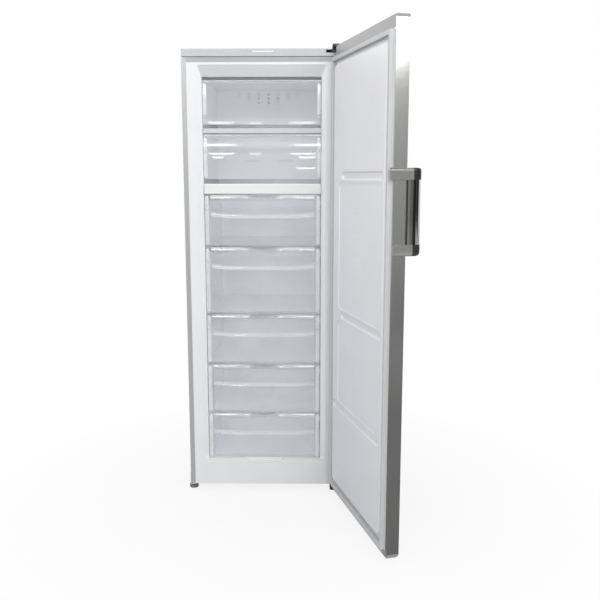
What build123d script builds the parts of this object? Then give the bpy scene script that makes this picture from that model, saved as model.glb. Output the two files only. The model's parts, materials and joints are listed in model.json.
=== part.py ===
from build123d import *
import os

# Upright freezer, 595 x 1715 mm, shown with its door open on right-hand hinges.
# Millimetres, +Z up, front of the cabinet towards -Y.  All cabinet pieces are drawn
# from the centre of the cabinet's front plane, and all door pieces from the same
# point with the door shut; the door's frame is then turned about the hinge pins.

# ---------------------------------------------------------------- cabinet shell
cabinet_width = 595.0
cabinet_height = 1715.0
cabinet_depth = 590.0
floor_gap = 25.0            # underside of the cabinet above the floor
sheet = 0.8                 # painted steel sheet
side_flange = 18.0          # front return of the side panels
back_flange = 14.0          # rear return of the side panels
top_cover_height = 27.5
top_cover_wall = 2.5
top_cover_edge = 3.0        # rounding of the cover's upper edges
cover_groove = 4.5          # shadow groove under the cover's front strip
cover_groove_depth = 6.0
rail_height = 16.3          # steel rail between groove and liner
rail_thickness = 1.0
rail_leg = 24.0

# ---------------------------------------------------------------- inner liner
opening_width = 446.0
opening_bottom = 133.0
ceiling_drop = 100.0        # liner's ceiling under the cabinet's top
liner_wall = 2.0
rear_foam = 60.0            # liner's back wall to the cabinet's back
liner_corner = 16.0         # upright rear corners of the liner
mouth_side = 18.0           # sloped border of the liner's mouth beside the opening
mouth_top = 43.0            # and above it
mouth_depth = 6.5
mouth_round = 10.0
ledge_reach = 9.0           # runner ledges on the side walls
ledge_height = 7.0
ledge_front = 32.0
ledge_rear_gap = 18.0       # from the ledge end to the air duct cover
sill_notch_top = 156.0
sill_notch_bottom = 132.0
sill_notch_drop = 11.0
sill_notch_depth = 14.0
fit_gap = 0.3               # between seated pieces and beside curved ones

# ---------------------------------------------------------------- machine compartment
machine_depth = 215.0
machine_height = 205.0
insulation_floor = 50.0     # foam between machine compartment and liner step
tray_gauge = 1.5
tray_front_gap = 12.0
tray_lip = 12.0

# ---------------------------------------------------------------- shelves and drawers
drawer_gap = 3.0
drawer_heights = (196.0, 260.0, 197.0, 196.0, 184.0)   # top drawer down, fitted to the stack
drawer_back_gap = 9.0       # tub's back to the duct cover
low_back_gap = 9.0          # lowest tub's back to the liner's step
front_plane = 4.0           # drawer fronts and flaps behind the cabinet's front plane
front_depth = 13.0          # drawer front, front to back
front_wall = 2.8
front_side_gap = 2.5
column_width = 22.0         # rounded upright at each end of a drawer front
column_round = 5.0
band_height = 82.0          # bulging grip band under a front's top edge
band_bulge = 2.6
band_set_back = 7.0         # lower panel behind the band
scoop_width = 104.0
scoop_drop = 9.0
tub_wall = 2.4
tub_corner = 14.0
tub_floor_round = 7.0
tub_floor_gap = 3.0
tub_side_gap = 2.0
rim_drop = 22.0             # tub rim under the front's top edge
rim_height = 3.0
rim_side_gap = 1.5
shelf_2_front = 39.0
comp_1_height = 186.75      # ceiling down to the thin shelf's front
comp_2_height = comp_1_height
shelf_1_front = 18.5
shelf_front_depth = 22.0
shelf_2_forward = 3.0       # thick shelf front ahead of the drawer fronts
glass_thickness = 4.0
glass_drop = 9.0
glass_side_gap = 2.0
glass_seat = 6.0            # glass held inside the shelf front
trim_round = 2.5

# ---------------------------------------------------------------- flaps
flap_side_gap = 2.5
flap_wall = 2.8
flap_barrel = 5.5
flap_top_gap = 11.0
flap_pin = 3.0
flap_pin_reach = 1.6
pin_clearance = 0.08
flap_lip_height = 24.0
flap_lip_reach = 5.0
flap_bottom_gap = 12.0
flap_2_bottom_gap = 18.0
flap_band_height = 44.0
flap_band_bulge = 4.0

# ---------------------------------------------------------------- air duct, cold parts
duct_space = 64.0           # front of the duct cover to the liner's back
duct_wall = 2.5
duct_side_gap = 0.6
vent_radius = 6.5
vent_row_shrink = 0.5       # each lower row of vents is this much smaller
vent_pitch = 42.0
vent_row_drop = 17.5
vent_first_row = 15.0
vent_columns = (7, 5, 3)
slot_length = 64.0
slot_height = 8.0
slot_spacing = 150.0
fan_drop = 74.0             # fan axis under the liner's ceiling
fan_ring_radius = 58.0
fan_ring_wall = 3.0
fan_ring_depth = 26.0
fan_spoke = 6.0
fan_spoke_thickness = 3.0
fan_hub_radius = 20.0
fan_motor_radius = 19.0
fan_motor_depth = 27.0
blade_reach = 54.0
blade_count = 5
blade_thickness = 1.6
blade_root_width = 18.0
blade_tip_width = 30.0
blade_pitch = 28.0         # between the blades and the fan's plane
impeller_hub = 15.0
impeller_depth = 18.0
fan_shaft = 2.0
coil_side_gap = 41.0        # evaporator's end plates to the liner's sides
coil_bottom = 350.0
coil_height = 250.0
coil_depth = 44.0
fin_count = 16
fin_thickness = 1.0
coil_tube = 4.0             # radius of the evaporator tube
coil_runs = 6
heater_tube = 3.5
heater_drop = 22.0
heater_pitch = 24.0
drain_outer = 6.5
drain_bore = 5.0
drain_flange = 11.0
drain_flange_thickness = 1.5
drain_reach = 26.0          # tube below the machine compartment's roof

# ---------------------------------------------------------------- machine parts
compressor_radius = 74.0
compressor_height = 142.0
compressor_x = 30.0
grommet_radius = 10.0
grommet_height = 10.0
foot_plate_gauge = 2.5
foot_plate_long = 190.0
foot_plate_wide = 120.0
foot_hole_inset = 14.0
bowl_wall = 1.6
bowl_depth = 22.0
bowl_radius = 58.0
dome_share = 0.30           # domed part of the compressor's shell
terminal_cover = 34.0
drier_radius = 9.0
drier_length = 96.0
pipe_radius = 3.0
pipe_spacing = 40.0
condenser_tube = 2.5
condenser_runs = 6
condenser_pitch = 78.0
condenser_bottom = 330.0
condenser_drop = 205.0      # condenser's top under the cabinet's top
condenser_pocket = 5.6

# ---------------------------------------------------------------- feet and rollers
foot_radius = 17.5
foot_disc = 15.0
foot_taper = 2.0
foot_stem = 5.0
foot_stem_length = 46.0
foot_inset = 8.0
foot_back = 30.0
stem_clearance = 0.1
roller_radius = 20.0
roller_width = 18.0
roller_inset = 20.0
roller_back = 30.0
roller_axle = 4.0
roller_side_gap = 1.0
cheek_gauge = 2.0
cheek_half = 12.0
corner_cap_height = 50.0
corner_cap_wall = 2.0

# ---------------------------------------------------------------- door
door_open = 105.74
door_thickness = 43.6
door_bottom = 26.8
gasket_gap = 15.0           # door shell to cabinet front when shut
hinge_inset = 9.76          # pin axis from the cabinet's side
hinge_forward = 32.9        # pin axis ahead of the cabinet's front
skin_flange = 9.0
skin_lower_round = 10.0
skin_upper_round = 4.0
top_cap_height = 38.6
bottom_cap_height = 22.0
upper_band = 8.0            # end cap's visible band at the door's top
lower_band = 10.0
cap_joint = 1.0             # shadow gap between a cap's band and the steel skin
plateau_depth = 12.0        # moulded inner panel proud of the door's rim
plateau_gap = 2.5           # between the gasket and the foot of the raised panel
plateau_slope = 17.0
door_liner_wall = 1.6
groove_height = 28.0
groove_depth = 7.0
groove_taper = 38.0         # slope of the grooves' sides from upright
groove_drops = (462.0, 965.0, 1320.0)   # pressed grooves under the door's top
groove_ends = ((90.0, 4.0), (90.0, 4.0), (6.0, 10.0))   # hinge and free end, from the panel's edge
field_half_length = 205.0
recess_depth = 2.0
recess_margin = 22.0
recess_round = 18.0
gasket_inset = 10.5
gasket_width = 17.0
gasket_base = 3.0
gasket_bellows = 10.0
gasket_head = 4.0
gasket_touch = 0.3

# ---------------------------------------------------------------- hinges
hinge_gauge = 3.0
hinge_width = 36.0
hinge_over = 1.2            # top hinge plate above the door
hinge_rear = 78.0
hinge_slot_drop = 15.0      # underside of the hinge's step under the cabinet's top
hinge_slot_reach = 22.0     # cover's slot beside the hinge's step
hinge_slot_height = 10.5
hinge_riser = 7.0
hinge_nose = 16.0
hinge_arm = 7.0             # thickness of the arm over the door
knuckle_radius = 12.8
knuckle_drop = 26.0         # knuckle's underside under the cabinet's top
knuckle_gap = 1.5
pin_radius = 4.0
pin_length = 20.0
upper_pin_length = 10.0
upper_bush_length = 11.0
bush_sleeve = 6.5
bush_flange = 9.0
bush_flange_height = 1.5
bush_length = 21.5
lower_plate_gauge = 3.5
lower_plate_rear = 62.0
screw_head = 4.5
screw_head_height = 2.5
screw_shank = 2.2
screw_grip = 12.0
upper_screw_spread = 18.0   # between the two rear screws of the top hinge
upper_screw_row = 12.0      # rear screws ahead of the top hinge's rear edge
upper_screw_third = 34.0    # front screw ahead of the same edge
lower_screw_spread = 16.0
lower_screw_row = 10.0      # screws ahead of the bottom hinge's rear edge

# ---------------------------------------------------------------- handle
handle_drop = 439.0         # handle's upper end under the door's top
handle_span = 267.0
bracket_height = 35.5
bracket_thickness = 9.0
bracket_clip = 11.0         # upper bracket's leg past the door's rim
bracket_reach = 50.0        # beyond the door's front face
bracket_depth_in = 27.0     # block on the front face, from the side inwards
bracket_round = 8.4
bracket_nose_round = 22.0   # outer corner of both brackets, seen from above
bracket_lower_round = 13.0
bar_wall = 4.0
bar_gap = 1.5               # between the bar and the door's front face
bar_hook = 24.0
bar_round = 20.0
bar_inset = 1.5             # bar inside the bracket's outline
handle_screw_head = 3.6

# ---------------------------------------------------------------- control box
board_length = 150.0
board_width = 92.0
board_height = 18.0
board_back = 150.0

# ---------------------------------------------------------------- derived levels
half_width = cabinet_width / 2
inner_half = half_width - sheet
half_opening = opening_width / 2
coil_half_width = half_opening - coil_side_gap
opening_top = cabinet_height - ceiling_drop
liner_depth = cabinet_depth - rear_foam
duct_face = liner_depth - duct_space
condenser_height = cabinet_height - condenser_drop - condenser_bottom
hinge_slot_level = cabinet_height - hinge_slot_drop
handle_upper = cabinet_height - handle_drop
handle_lower = handle_upper - handle_span
groove_levels = [cabinet_height - drop for drop in groove_drops]
panel_top = cabinet_height - top_cover_height - cover_groove
rail_bottom = panel_top - rail_height
foam_rear = cabinet_depth - 2 * sheet
base_top = floor_gap + sheet
machine_front = cabinet_depth - machine_depth
machine_roof = floor_gap + machine_height
step_face = machine_front - insulation_floor
step_top = machine_roof + insulation_floor
flange_half = half_width - side_flange - fit_gap
tub_half = half_opening - ledge_reach - tub_side_gap
front_half = half_opening - front_side_gap
front_back = front_plane + front_depth
tub_back = duct_face - drawer_back_gap
low_tub_back = step_face - low_back_gap
ledge_back = duct_face - ledge_rear_gap
door_rim = -gasket_gap
door_face = door_rim - door_thickness
axis_x = half_width - hinge_inset
axis_y = -hinge_forward
door_cap_top = cabinet_height - top_cap_height
door_cap_bottom = door_bottom + bottom_cap_height
knuckle_low = cabinet_height - knuckle_drop
pocket_floor = knuckle_low - hinge_over
plateau_half = half_width - gasket_inset - gasket_width - plateau_gap
plateau_low = door_cap_bottom + sheet + gasket_width + plateau_gap
plateau_high = door_cap_top - sheet - gasket_width - plateau_gap

shelf_1_top = opening_top - comp_1_height
shelf_1_bottom = shelf_1_top - shelf_1_front
shelf_2_top = shelf_1_bottom - comp_2_height
shelf_2_bottom = shelf_2_top - shelf_2_front
stack_room = shelf_2_bottom - opening_bottom - (len(drawer_heights) + 1) * drawer_gap
drawer_tops = []
drawer_bottoms = []
level_now = opening_bottom + drawer_gap
for height in reversed(drawer_heights):
    fitted_height = height * stack_room / sum(drawer_heights)
    drawer_bottoms.insert(0, level_now)
    drawer_tops.insert(0, level_now + fitted_height)
    level_now = level_now + fitted_height + drawer_gap
flap_1_axis = opening_top - flap_top_gap - flap_barrel
flap_2_axis = shelf_1_bottom - drawer_gap - flap_barrel
flap_1_bottom = shelf_1_top + flap_bottom_gap
flap_2_bottom = shelf_2_top + flap_2_bottom_gap
flap_axis_y = front_plane + flap_barrel + 1.5
fan_level = opening_top - fan_drop
foot_x = half_width - foot_inset
roller_x = half_width - roller_inset - roller_width / 2
roller_y = cabinet_depth - roller_back

# ---------------------------------------------------------------- shared frame
# The row's origin is the middle of the freezer's footprint box on the floor, with
# the door standing open.  The extreme points that set that box follow here.
swing = Axis((0, 0, 0), (0, 0, 1))


def swung(x, y):
    """Place of a closed-door point once the door stands open."""
    arm = Vector(x - axis_x, y - axis_y, 0).rotate(swing, door_open)
    return arm.X + axis_x, arm.Y + axis_y


handle_nose = door_face - bracket_reach
handle_side = -half_width - bracket_thickness
nose_points = (
    swung(handle_side, handle_nose + bracket_round),
    swung(handle_side, door_rim),
    swung(-half_width + bracket_depth_in - bracket_thickness, handle_nose),
)
box_left = -foot_x - foot_radius
box_right = max(point[0] for point in nose_points)
box_front = min(point[1] for point in nose_points)
box_rear = cabinet_depth
centre_x = (box_left + box_right) / 2
centre_y = (box_front + box_rear) / 2

CABINET = Plane(origin=(-centre_x, -centre_y, 0), x_dir=(1, 0, 0), z_dir=(0, 0, 1))
door_zero = swung(0, 0)
door_along = Vector(1, 0, 0).rotate(swing, door_open)
DOOR = Plane(
    origin=(door_zero[0] - centre_x, door_zero[1] - centre_y, 0),
    x_dir=door_along,
    z_dir=(0, 0, 1),
)


def level(frame, height):
    """Horizontal plane of a frame: local x is its x, local y its y."""
    return Plane(frame.from_local_coords((0, 0, height)), frame.x_dir, frame.z_dir)


def facing(frame, depth):
    """Upright plane that looks out of the front: local x is its x, local y is up."""
    return Plane(frame.from_local_coords((0, depth, 0)), frame.x_dir, -frame.y_dir)


def flank(frame, across):
    """Upright plane seen from the side: local x is the frame's y, local y is up."""
    return Plane(frame.from_local_coords((across, 0, 0)), frame.y_dir, frame.x_dir)


def slab(frame, xs, ys, zs, mode=Mode.ADD):
    """Plain sheet or block between two limits on each axis of a frame."""
    with BuildSketch(level(frame, zs[0])) as outline:
        with Locations(((xs[0] + xs[1]) / 2, (ys[0] + ys[1]) / 2)):
            Rectangle(xs[1] - xs[0], ys[1] - ys[0])
    extrude(outline.sketch, amount=zs[1] - zs[0], mode=mode)


def bore(plane, points, radius, amount, mode=Mode.SUBTRACT):
    """Round holes or pegs on a plane, all of one radius and length."""
    with BuildSketch(plane) as rounds:
        with Locations(*points):
            Circle(radius)
    extrude(rounds.sketch, amount=amount, mode=mode)


def ring(plane, outer, width, centre, height, mode=Mode.ADD):
    """Rectangular frame of one width, as a gasket or a rim is."""
    with BuildSketch(plane) as outline:
        with Locations(centre):
            Rectangle(outer[0], outer[1])
            Rectangle(outer[0] - 2 * width, outer[1] - 2 * width, mode=Mode.SUBTRACT)
    extrude(outline.sketch, amount=height, mode=mode)


os.makedirs("parts", exist_ok=True)


def keep(piece, label):
    """Name a finished piece and write it as its own file."""
    piece.part.label = label
    export_step(piece.part, "parts/" + label + ".step")


# ================================================================ cabinet shell
def make_side_panel(hand, label):
    """Steel side with its front and rear returns, folded from one sheet."""
    with BuildPart() as panel:
        with BuildSketch(level(CABINET, floor_gap)):
            with BuildLine():
                Polyline(
                    (hand * (half_width - side_flange), 0),
                    (hand * half_width, 0),
                    (hand * half_width, cabinet_depth - sheet),
                    (hand * (half_width - back_flange), cabinet_depth - sheet),
                    (hand * (half_width - back_flange), foam_rear),
                    (hand * inner_half, foam_rear),
                    (hand * inner_half, sheet),
                    (hand * (half_width - side_flange), sheet),
                    close=True,
                )
            make_face()
        extrude(amount=panel_top - floor_gap)
    keep(panel, label)


def make_back_panel():
    """Flat steel back above the machine compartment, with two stiffening swages."""
    swage_half = half_width - 2 * side_flange
    with BuildPart() as panel:
        slab(CABINET, (-half_width, half_width), (cabinet_depth - sheet, cabinet_depth),
             (machine_roof, panel_top))
        with BuildSketch(facing(CABINET, cabinet_depth - sheet)):
            with Locations((0, machine_roof + 2 * side_flange), (0, panel_top - 2 * side_flange)):
                SlotOverall(2 * swage_half, side_flange)
        extrude(amount=sheet, mode=Mode.SUBTRACT)
        with BuildSketch(facing(CABINET, cabinet_depth)):
            with Locations((0, machine_roof + 2 * side_flange), (0, panel_top - 2 * side_flange)):
                SlotOverall(2 * swage_half, side_flange)
        extrude(amount=sheet)
    keep(panel, "back_panel")


def make_base_plate():
    """Bottom sheet that steps up over the machine compartment."""
    with BuildPart() as plate:
        with BuildSketch(flank(CABINET, -inner_half)):
            with BuildLine():
                Polyline(
                    (liner_wall, floor_gap),
                    (machine_front + sheet, floor_gap),
                    (machine_front + sheet, machine_roof - sheet),
                    (foam_rear, machine_roof - sheet),
                    (foam_rear, machine_roof),
                    (machine_front, machine_roof),
                    (machine_front, base_top),
                    (liner_wall, base_top),
                    close=True,
                )
            make_face()
        extrude(amount=2 * inner_half)
        bore(level(CABINET, floor_gap), [(-foot_x, foot_back), (foot_x, foot_back)],
             foot_stem + stem_clearance, sheet)
        bore(level(CABINET, machine_roof - sheet), [(compressor_x, drain_y)],
             drain_outer + fit_gap, sheet)
        bore(level(CABINET, floor_gap), lower_screw_points(), screw_shank + fit_gap, sheet)
        bore(level(CABINET, machine_roof - sheet), pipe_points(), pipe_radius + fit_gap, sheet)
    keep(plate, "base_plate")


def make_front_rail():
    """Steel cross rail between the side panels, with a leg over the foam."""
    rail_half = half_width - side_flange
    with BuildPart() as rail:
        with BuildSketch(flank(CABINET, -rail_half)):
            with BuildLine():
                Polyline(
                    (0, rail_bottom),
                    (0, panel_top),
                    (rail_leg, panel_top),
                    (rail_leg, panel_top - rail_thickness),
                    (rail_thickness, panel_top - rail_thickness),
                    (rail_thickness, rail_bottom),
                    close=True,
                )
            make_face()
        extrude(amount=2 * rail_half)
        top_edges = rail.faces().sort_by(-Axis(CABINET.origin, CABINET.y_dir))[0].edges()
        fillet(top_edges.filter_by(Axis.X).sort_by(Axis.Z)[-1], rail_thickness * 0.6)
    keep(rail, "front_rail")


def make_top_cover():
    """Plastic lid with a front strip, a set-back rim below it and a hollow inside."""
    skirt = panel_top + cover_groove
    seat_half = half_width - cover_groove_depth
    with BuildPart() as cover:
        slab(CABINET, (-half_width, half_width), (0, cabinet_depth), (skirt, cabinet_height))
        fillet(cover.edges().group_by(Axis.Z)[-1], top_cover_edge)
        slab(CABINET, (-seat_half, seat_half), (cover_groove_depth, cabinet_depth - cover_groove_depth),
             (panel_top, skirt))
        hollow_half = seat_half - top_cover_wall
        slab(CABINET, (-hollow_half, hollow_half),
             (cover_groove_depth + top_cover_wall, cabinet_depth - cover_groove_depth - top_cover_wall),
             (panel_top, cabinet_height - top_cover_wall), mode=Mode.SUBTRACT)
        slot_top = hinge_slot_level + hinge_gauge + fit_gap
        slot_xs = (hinge_left - fit_gap, hinge_right + fit_gap)
        front_wall_rear = cover_groove_depth + top_cover_wall
        slab(CABINET, (slot_xs[0] - hinge_slot_reach, slot_xs[1]), (0, front_wall_rear),
             (hinge_slot_level - fit_gap, hinge_slot_level + hinge_slot_height), mode=Mode.SUBTRACT)
        slab(CABINET, slot_xs, (front_wall_rear, hinge_rear + fit_gap), (panel_top, slot_top),
             mode=Mode.SUBTRACT)
    keep(cover, "top_cover")


def liner_form(grow):
    """Sides of the liner's space seen from the flank, grown outwards by a wall."""
    with BuildSketch(flank(CABINET, -half_opening - grow)) as outline:
        with BuildLine():
            Polyline(
                (0, opening_bottom - grow),
                (step_face + grow, opening_bottom - grow),
                (step_face + grow, step_top - grow),
                (liner_depth + grow, step_top - grow),
                (liner_depth + grow, opening_top + grow),
                (0, opening_top + grow),
                close=True,
            )
        make_face()
    return outline.sketch


def mouth_form(grow):
    """Sloped border that leads from the front flange into the opening."""
    low = opening_bottom - grow
    high = opening_top + grow
    with BuildPart(mode=Mode.PRIVATE) as form:
        with BuildSketch(facing(CABINET, 0)) as outer:
            with Locations((0, (low + high + mouth_top) / 2)):
                RectangleRounded(opening_width + 2 * (mouth_side + grow), high + mouth_top - low,
                                 mouth_round)
        with BuildSketch(facing(CABINET, mouth_depth + grow)) as inner:
            with Locations((0, (low + high) / 2)):
                RectangleRounded(opening_width + 2 * grow, high - low, liner_wall)
        loft([outer.sketch.face(), inner.sketch.face()])
    return form.part


def notch_form(grow):
    """Shallow scoop in the middle of the sill."""
    with BuildSketch(facing(CABINET, sill_notch_depth + grow)) as outline:
        with BuildLine():
            Polyline(
                (-sill_notch_top / 2 - grow, opening_bottom + liner_wall),
                (-sill_notch_top / 2 - grow, opening_bottom),
                (-sill_notch_bottom / 2 - grow, opening_bottom - sill_notch_drop - grow),
                (sill_notch_bottom / 2 + grow, opening_bottom - sill_notch_drop - grow),
                (sill_notch_top / 2 + grow, opening_bottom),
                (sill_notch_top / 2 + grow, opening_bottom + liner_wall),
                close=True,
            )
        make_face()
    return outline.sketch


def ledge_levels():
    """Top of each pair of ledges, with how far back it runs."""
    levels = []
    for index, top in enumerate(drawer_tops):
        rear = ledge_back
        if index == len(drawer_tops) - 1:
            rear = step_face - ledge_rear_gap
        levels.append((top - rim_drop - rim_height - fit_gap, rear))
    levels.append((shelf_1_top - glass_drop - glass_thickness - fit_gap, ledge_back))
    levels.append((shelf_2_top - glass_drop - glass_thickness - fit_gap, ledge_back))
    return levels


def make_liner():
    """White moulded liner: front flange, five walls, runner ledges and sill scoop."""
    with BuildPart() as liner:
        extrude(liner_form(liner_wall), amount=opening_width + 2 * liner_wall)
        rear = liner.faces().sort_by(Axis.Y)[-1]
        fillet(rear.edges().filter_by(Axis.Z), liner_corner + liner_wall)
        slab(CABINET, (-flange_half, flange_half), (0, liner_wall), (base_top, rail_bottom))
        add(mouth_form(liner_wall))
        extrude(notch_form(liner_wall), amount=sill_notch_depth + liner_wall)
        with BuildPart(mode=Mode.PRIVATE) as space:
            extrude(liner_form(0), amount=opening_width)
            back = space.faces().sort_by(Axis.Y)[-1]
            fillet(back.edges().filter_by(Axis.Z), liner_corner)
            extrude(notch_form(0), amount=sill_notch_depth)
            add(mouth_form(0))
        add(space.part, mode=Mode.SUBTRACT)
        for top, rear_end in ledge_levels():
            for hand in (-1, 1):
                with BuildSketch(facing(CABINET, rear_end)) as rib:
                    with BuildLine():
                        Polyline(
                            (hand * half_opening, top),
                            (hand * (half_opening - ledge_reach), top),
                            (hand * (half_opening - ledge_reach), top - ledge_height / 2),
                            (hand * half_opening, top - 2 * ledge_height),
                            close=True,
                        )
                    make_face()
                extrude(rib.sketch, amount=rear_end - ledge_front)
        for pivot_level in (flap_1_axis, flap_2_axis):
            bore(flank(CABINET, -half_opening - flap_pin_reach), [(flap_axis_y, pivot_level)],
                 flap_pin + pin_clearance, opening_width + 2 * flap_pin_reach)
        bore(level(CABINET, step_top - liner_wall), [(compressor_x, drain_y)],
             drain_outer + fit_gap, liner_wall)
    keep(liner, "inner_liner")


def make_insulation():
    """Foam between the steel shell and the liner, with every recess it is cast round."""
    with BuildPart() as foam:
        slab(CABINET, (-inner_half, inner_half), (liner_wall, foam_rear), (base_top, panel_top))
        slab(CABINET, (-inner_half, inner_half), (machine_front, foam_rear),
             (base_top, machine_roof), mode=Mode.SUBTRACT)
        slab(CABINET, (-inner_half, inner_half), (liner_wall, rail_leg),
             (panel_top - rail_thickness, panel_top), mode=Mode.SUBTRACT)
        grow = liner_wall + fit_gap
        with BuildPart(mode=Mode.PRIVATE) as space:
            extrude(liner_form(grow), amount=opening_width + 2 * grow)
            extrude(notch_form(grow), amount=sill_notch_depth + grow)
            add(mouth_form(grow))
        add(space.part, mode=Mode.SUBTRACT)
        pocket_half = condenser_runs * condenser_pitch / 2
        slab(CABINET, (-pocket_half, pocket_half), (foam_rear - condenser_pocket, foam_rear),
             (machine_roof, condenser_bottom + condenser_height + condenser_pitch), mode=Mode.SUBTRACT)
        bore(level(CABINET, base_top), [(-foot_x, foot_back), (foot_x, foot_back)],
             foot_stem + fit_gap, foot_stem_length)
        bore(level(CABINET, machine_roof), [(compressor_x, drain_y)], drain_outer + fit_gap,
             insulation_floor)
        bore(level(CABINET, base_top), lower_screw_points(), screw_shank + fit_gap, screw_grip)
        bore(level(CABINET, panel_top - screw_grip - fit_gap), upper_screw_points(),
             screw_shank + fit_gap, screw_grip + fit_gap)
    keep(foam, "cabinet_insulation")


def make_corner_cap():
    """Small plastic cap round the lower left corner, beside and under the side panel."""
    outer = half_width + corner_cap_wall
    with BuildPart() as cap:
        with BuildSketch(facing(CABINET, side_flange)):
            with BuildLine():
                Polyline(
                    (-half_width, floor_gap),
                    (-half_width, floor_gap + corner_cap_height),
                    (-outer, floor_gap + corner_cap_height),
                    (-outer, floor_gap - corner_cap_wall),
                    (-flange_half, floor_gap - corner_cap_wall),
                    (-flange_half, floor_gap),
                    close=True,
                )
            make_face()
        extrude(amount=side_flange)
        outside = cap.faces().sort_by(Axis.X)[0]
        fillet(outside.edges(), corner_cap_wall * 0.9)
    keep(cap, "corner_cap")


# ================================================================ feet and rollers
def make_foot(hand, label):
    """Adjustable foot: a tapered disc turned in one piece with its threaded stem."""
    x = hand * foot_x
    with BuildPart() as foot:
        with BuildSketch(Plane(CABINET.from_local_coords((x, foot_back, 0)), CABINET.x_dir,
                               -CABINET.y_dir)):
            with BuildLine():
                Polyline(
                    (0, 0),
                    (foot_radius - foot_taper, 0),
                    (foot_radius, foot_taper),
                    (foot_radius, foot_disc - foot_taper),
                    (foot_radius - foot_taper, foot_disc),
                    (foot_stem, foot_disc),
                    (foot_stem, foot_stem_length),
                    (0, foot_stem_length),
                    close=True,
                )
            make_face()
        revolve(axis=Axis(CABINET.from_local_coords((x, foot_back, 0)), (0, 0, 1)))
    keep(foot, label)


def make_compressor_tray():
    """Steel tray across the machine compartment, with fork cheeks for the rollers."""
    front = machine_front + tray_front_gap
    wheel_half = roller_width / 2 + roller_side_gap
    with BuildPart() as tray:
        with BuildSketch(flank(CABINET, -inner_half)):
            with BuildLine():
                Polyline(
                    (front, floor_gap),
                    (foam_rear, floor_gap),
                    (foam_rear, floor_gap + tray_lip),
                    (foam_rear - tray_gauge, floor_gap + tray_lip),
                    (foam_rear - tray_gauge, floor_gap + tray_gauge),
                    (front + tray_gauge, floor_gap + tray_gauge),
                    (front + tray_gauge, floor_gap + tray_lip),
                    (front, floor_gap + tray_lip),
                    close=True,
                )
            make_face()
        extrude(amount=2 * inner_half)
        for hand in (-1, 1):
            x = hand * roller_x
            slab(CABINET, (x - wheel_half, x + wheel_half),
                 (roller_y - roller_radius - roller_side_gap, roller_y + roller_radius + roller_side_gap),
                 (floor_gap, floor_gap + tray_gauge), mode=Mode.SUBTRACT)
            for side in (-1, 1):
                inner = x + side * wheel_half
                outer = inner + side * cheek_gauge
                with BuildSketch(flank(CABINET, min(inner, outer))) as cheek:
                    with BuildLine():
                        Polyline(
                            (roller_y - cheek_half, floor_gap),
                            (roller_y - cheek_half, roller_radius),
                            (roller_y + cheek_half, roller_radius),
                            (roller_y + cheek_half, floor_gap),
                            close=True,
                        )
                    make_face()
                    with Locations((roller_y, roller_radius)):
                        Circle(cheek_half)
                extrude(cheek.sketch, amount=cheek_gauge)
            bore(flank(CABINET, x - wheel_half - cheek_gauge), [(roller_y, roller_radius)],
                 roller_axle + pin_clearance, 2 * (wheel_half + cheek_gauge))
        bore(level(CABINET, floor_gap), foot_plate_points(), foot_stem - stem_clearance, tray_gauge)
    keep(tray, "compressor_tray")


def make_roller(hand, label):
    """Rear transport roller turned in one piece with its axle stubs."""
    x = hand * roller_x
    reach = roller_width / 2 + roller_side_gap + cheek_gauge
    rim = roller_width / 2
    with BuildPart() as roller:
        with BuildSketch(Plane(CABINET.from_local_coords((x, roller_y, roller_radius)),
                               CABINET.x_dir, -CABINET.y_dir)):
            with BuildLine():
                Polyline(
                    (-reach, 0),
                    (-reach, roller_axle),
                    (-rim, roller_axle),
                    (-rim, roller_radius - foot_taper),
                    (-rim + foot_taper, roller_radius),
                    (rim - foot_taper, roller_radius),
                    (rim, roller_radius - foot_taper),
                    (rim, roller_axle),
                    (reach, roller_axle),
                    (reach, 0),
                    close=True,
                )
            make_face()
        revolve(axis=Axis(CABINET.from_local_coords((x, roller_y, roller_radius)), (1, 0, 0)))
    keep(roller, label)


# ================================================================ shelves
def make_shelf(top, front_height, forward, number):
    """Glass plate on the liner's ledges, with its moulded front edge."""
    front = front_plane - forward
    glass_top = top - glass_drop
    glass_front = front + shelf_front_depth - glass_seat
    with BuildPart() as glass:
        slab(CABINET, (-half_opening + glass_side_gap, half_opening - glass_side_gap),
             (glass_front, duct_face - glass_side_gap), (glass_top - glass_thickness, glass_top))
        fillet(glass.edges().filter_by(Axis.Z), glass_side_gap)
    keep(glass, "shelf_" + str(number) + "_glass")
    with BuildPart() as trim:
        with BuildSketch(flank(CABINET, -front_half)):
            with BuildLine():
                Polyline(
                    (front, top - front_height),
                    (front + shelf_front_depth, top - front_height),
                    (front + shelf_front_depth, glass_top - glass_thickness - fit_gap),
                    (glass_front - fit_gap, glass_top - glass_thickness - fit_gap),
                    (glass_front - fit_gap, glass_top + fit_gap),
                    (front + shelf_front_depth, glass_top + fit_gap),
                    (front + shelf_front_depth, glass_top + front_wall),
                    (front + front_wall, top),
                    (front, top),
                    close=True,
                )
            make_face()
        extrude(amount=2 * front_half)
        nose = trim.faces().sort_by(Axis.Y)[0].edges().filter_by(Axis.X)
        fillet(nose, trim_round)
    keep(trim, "shelf_" + str(number) + "_front")


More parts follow.
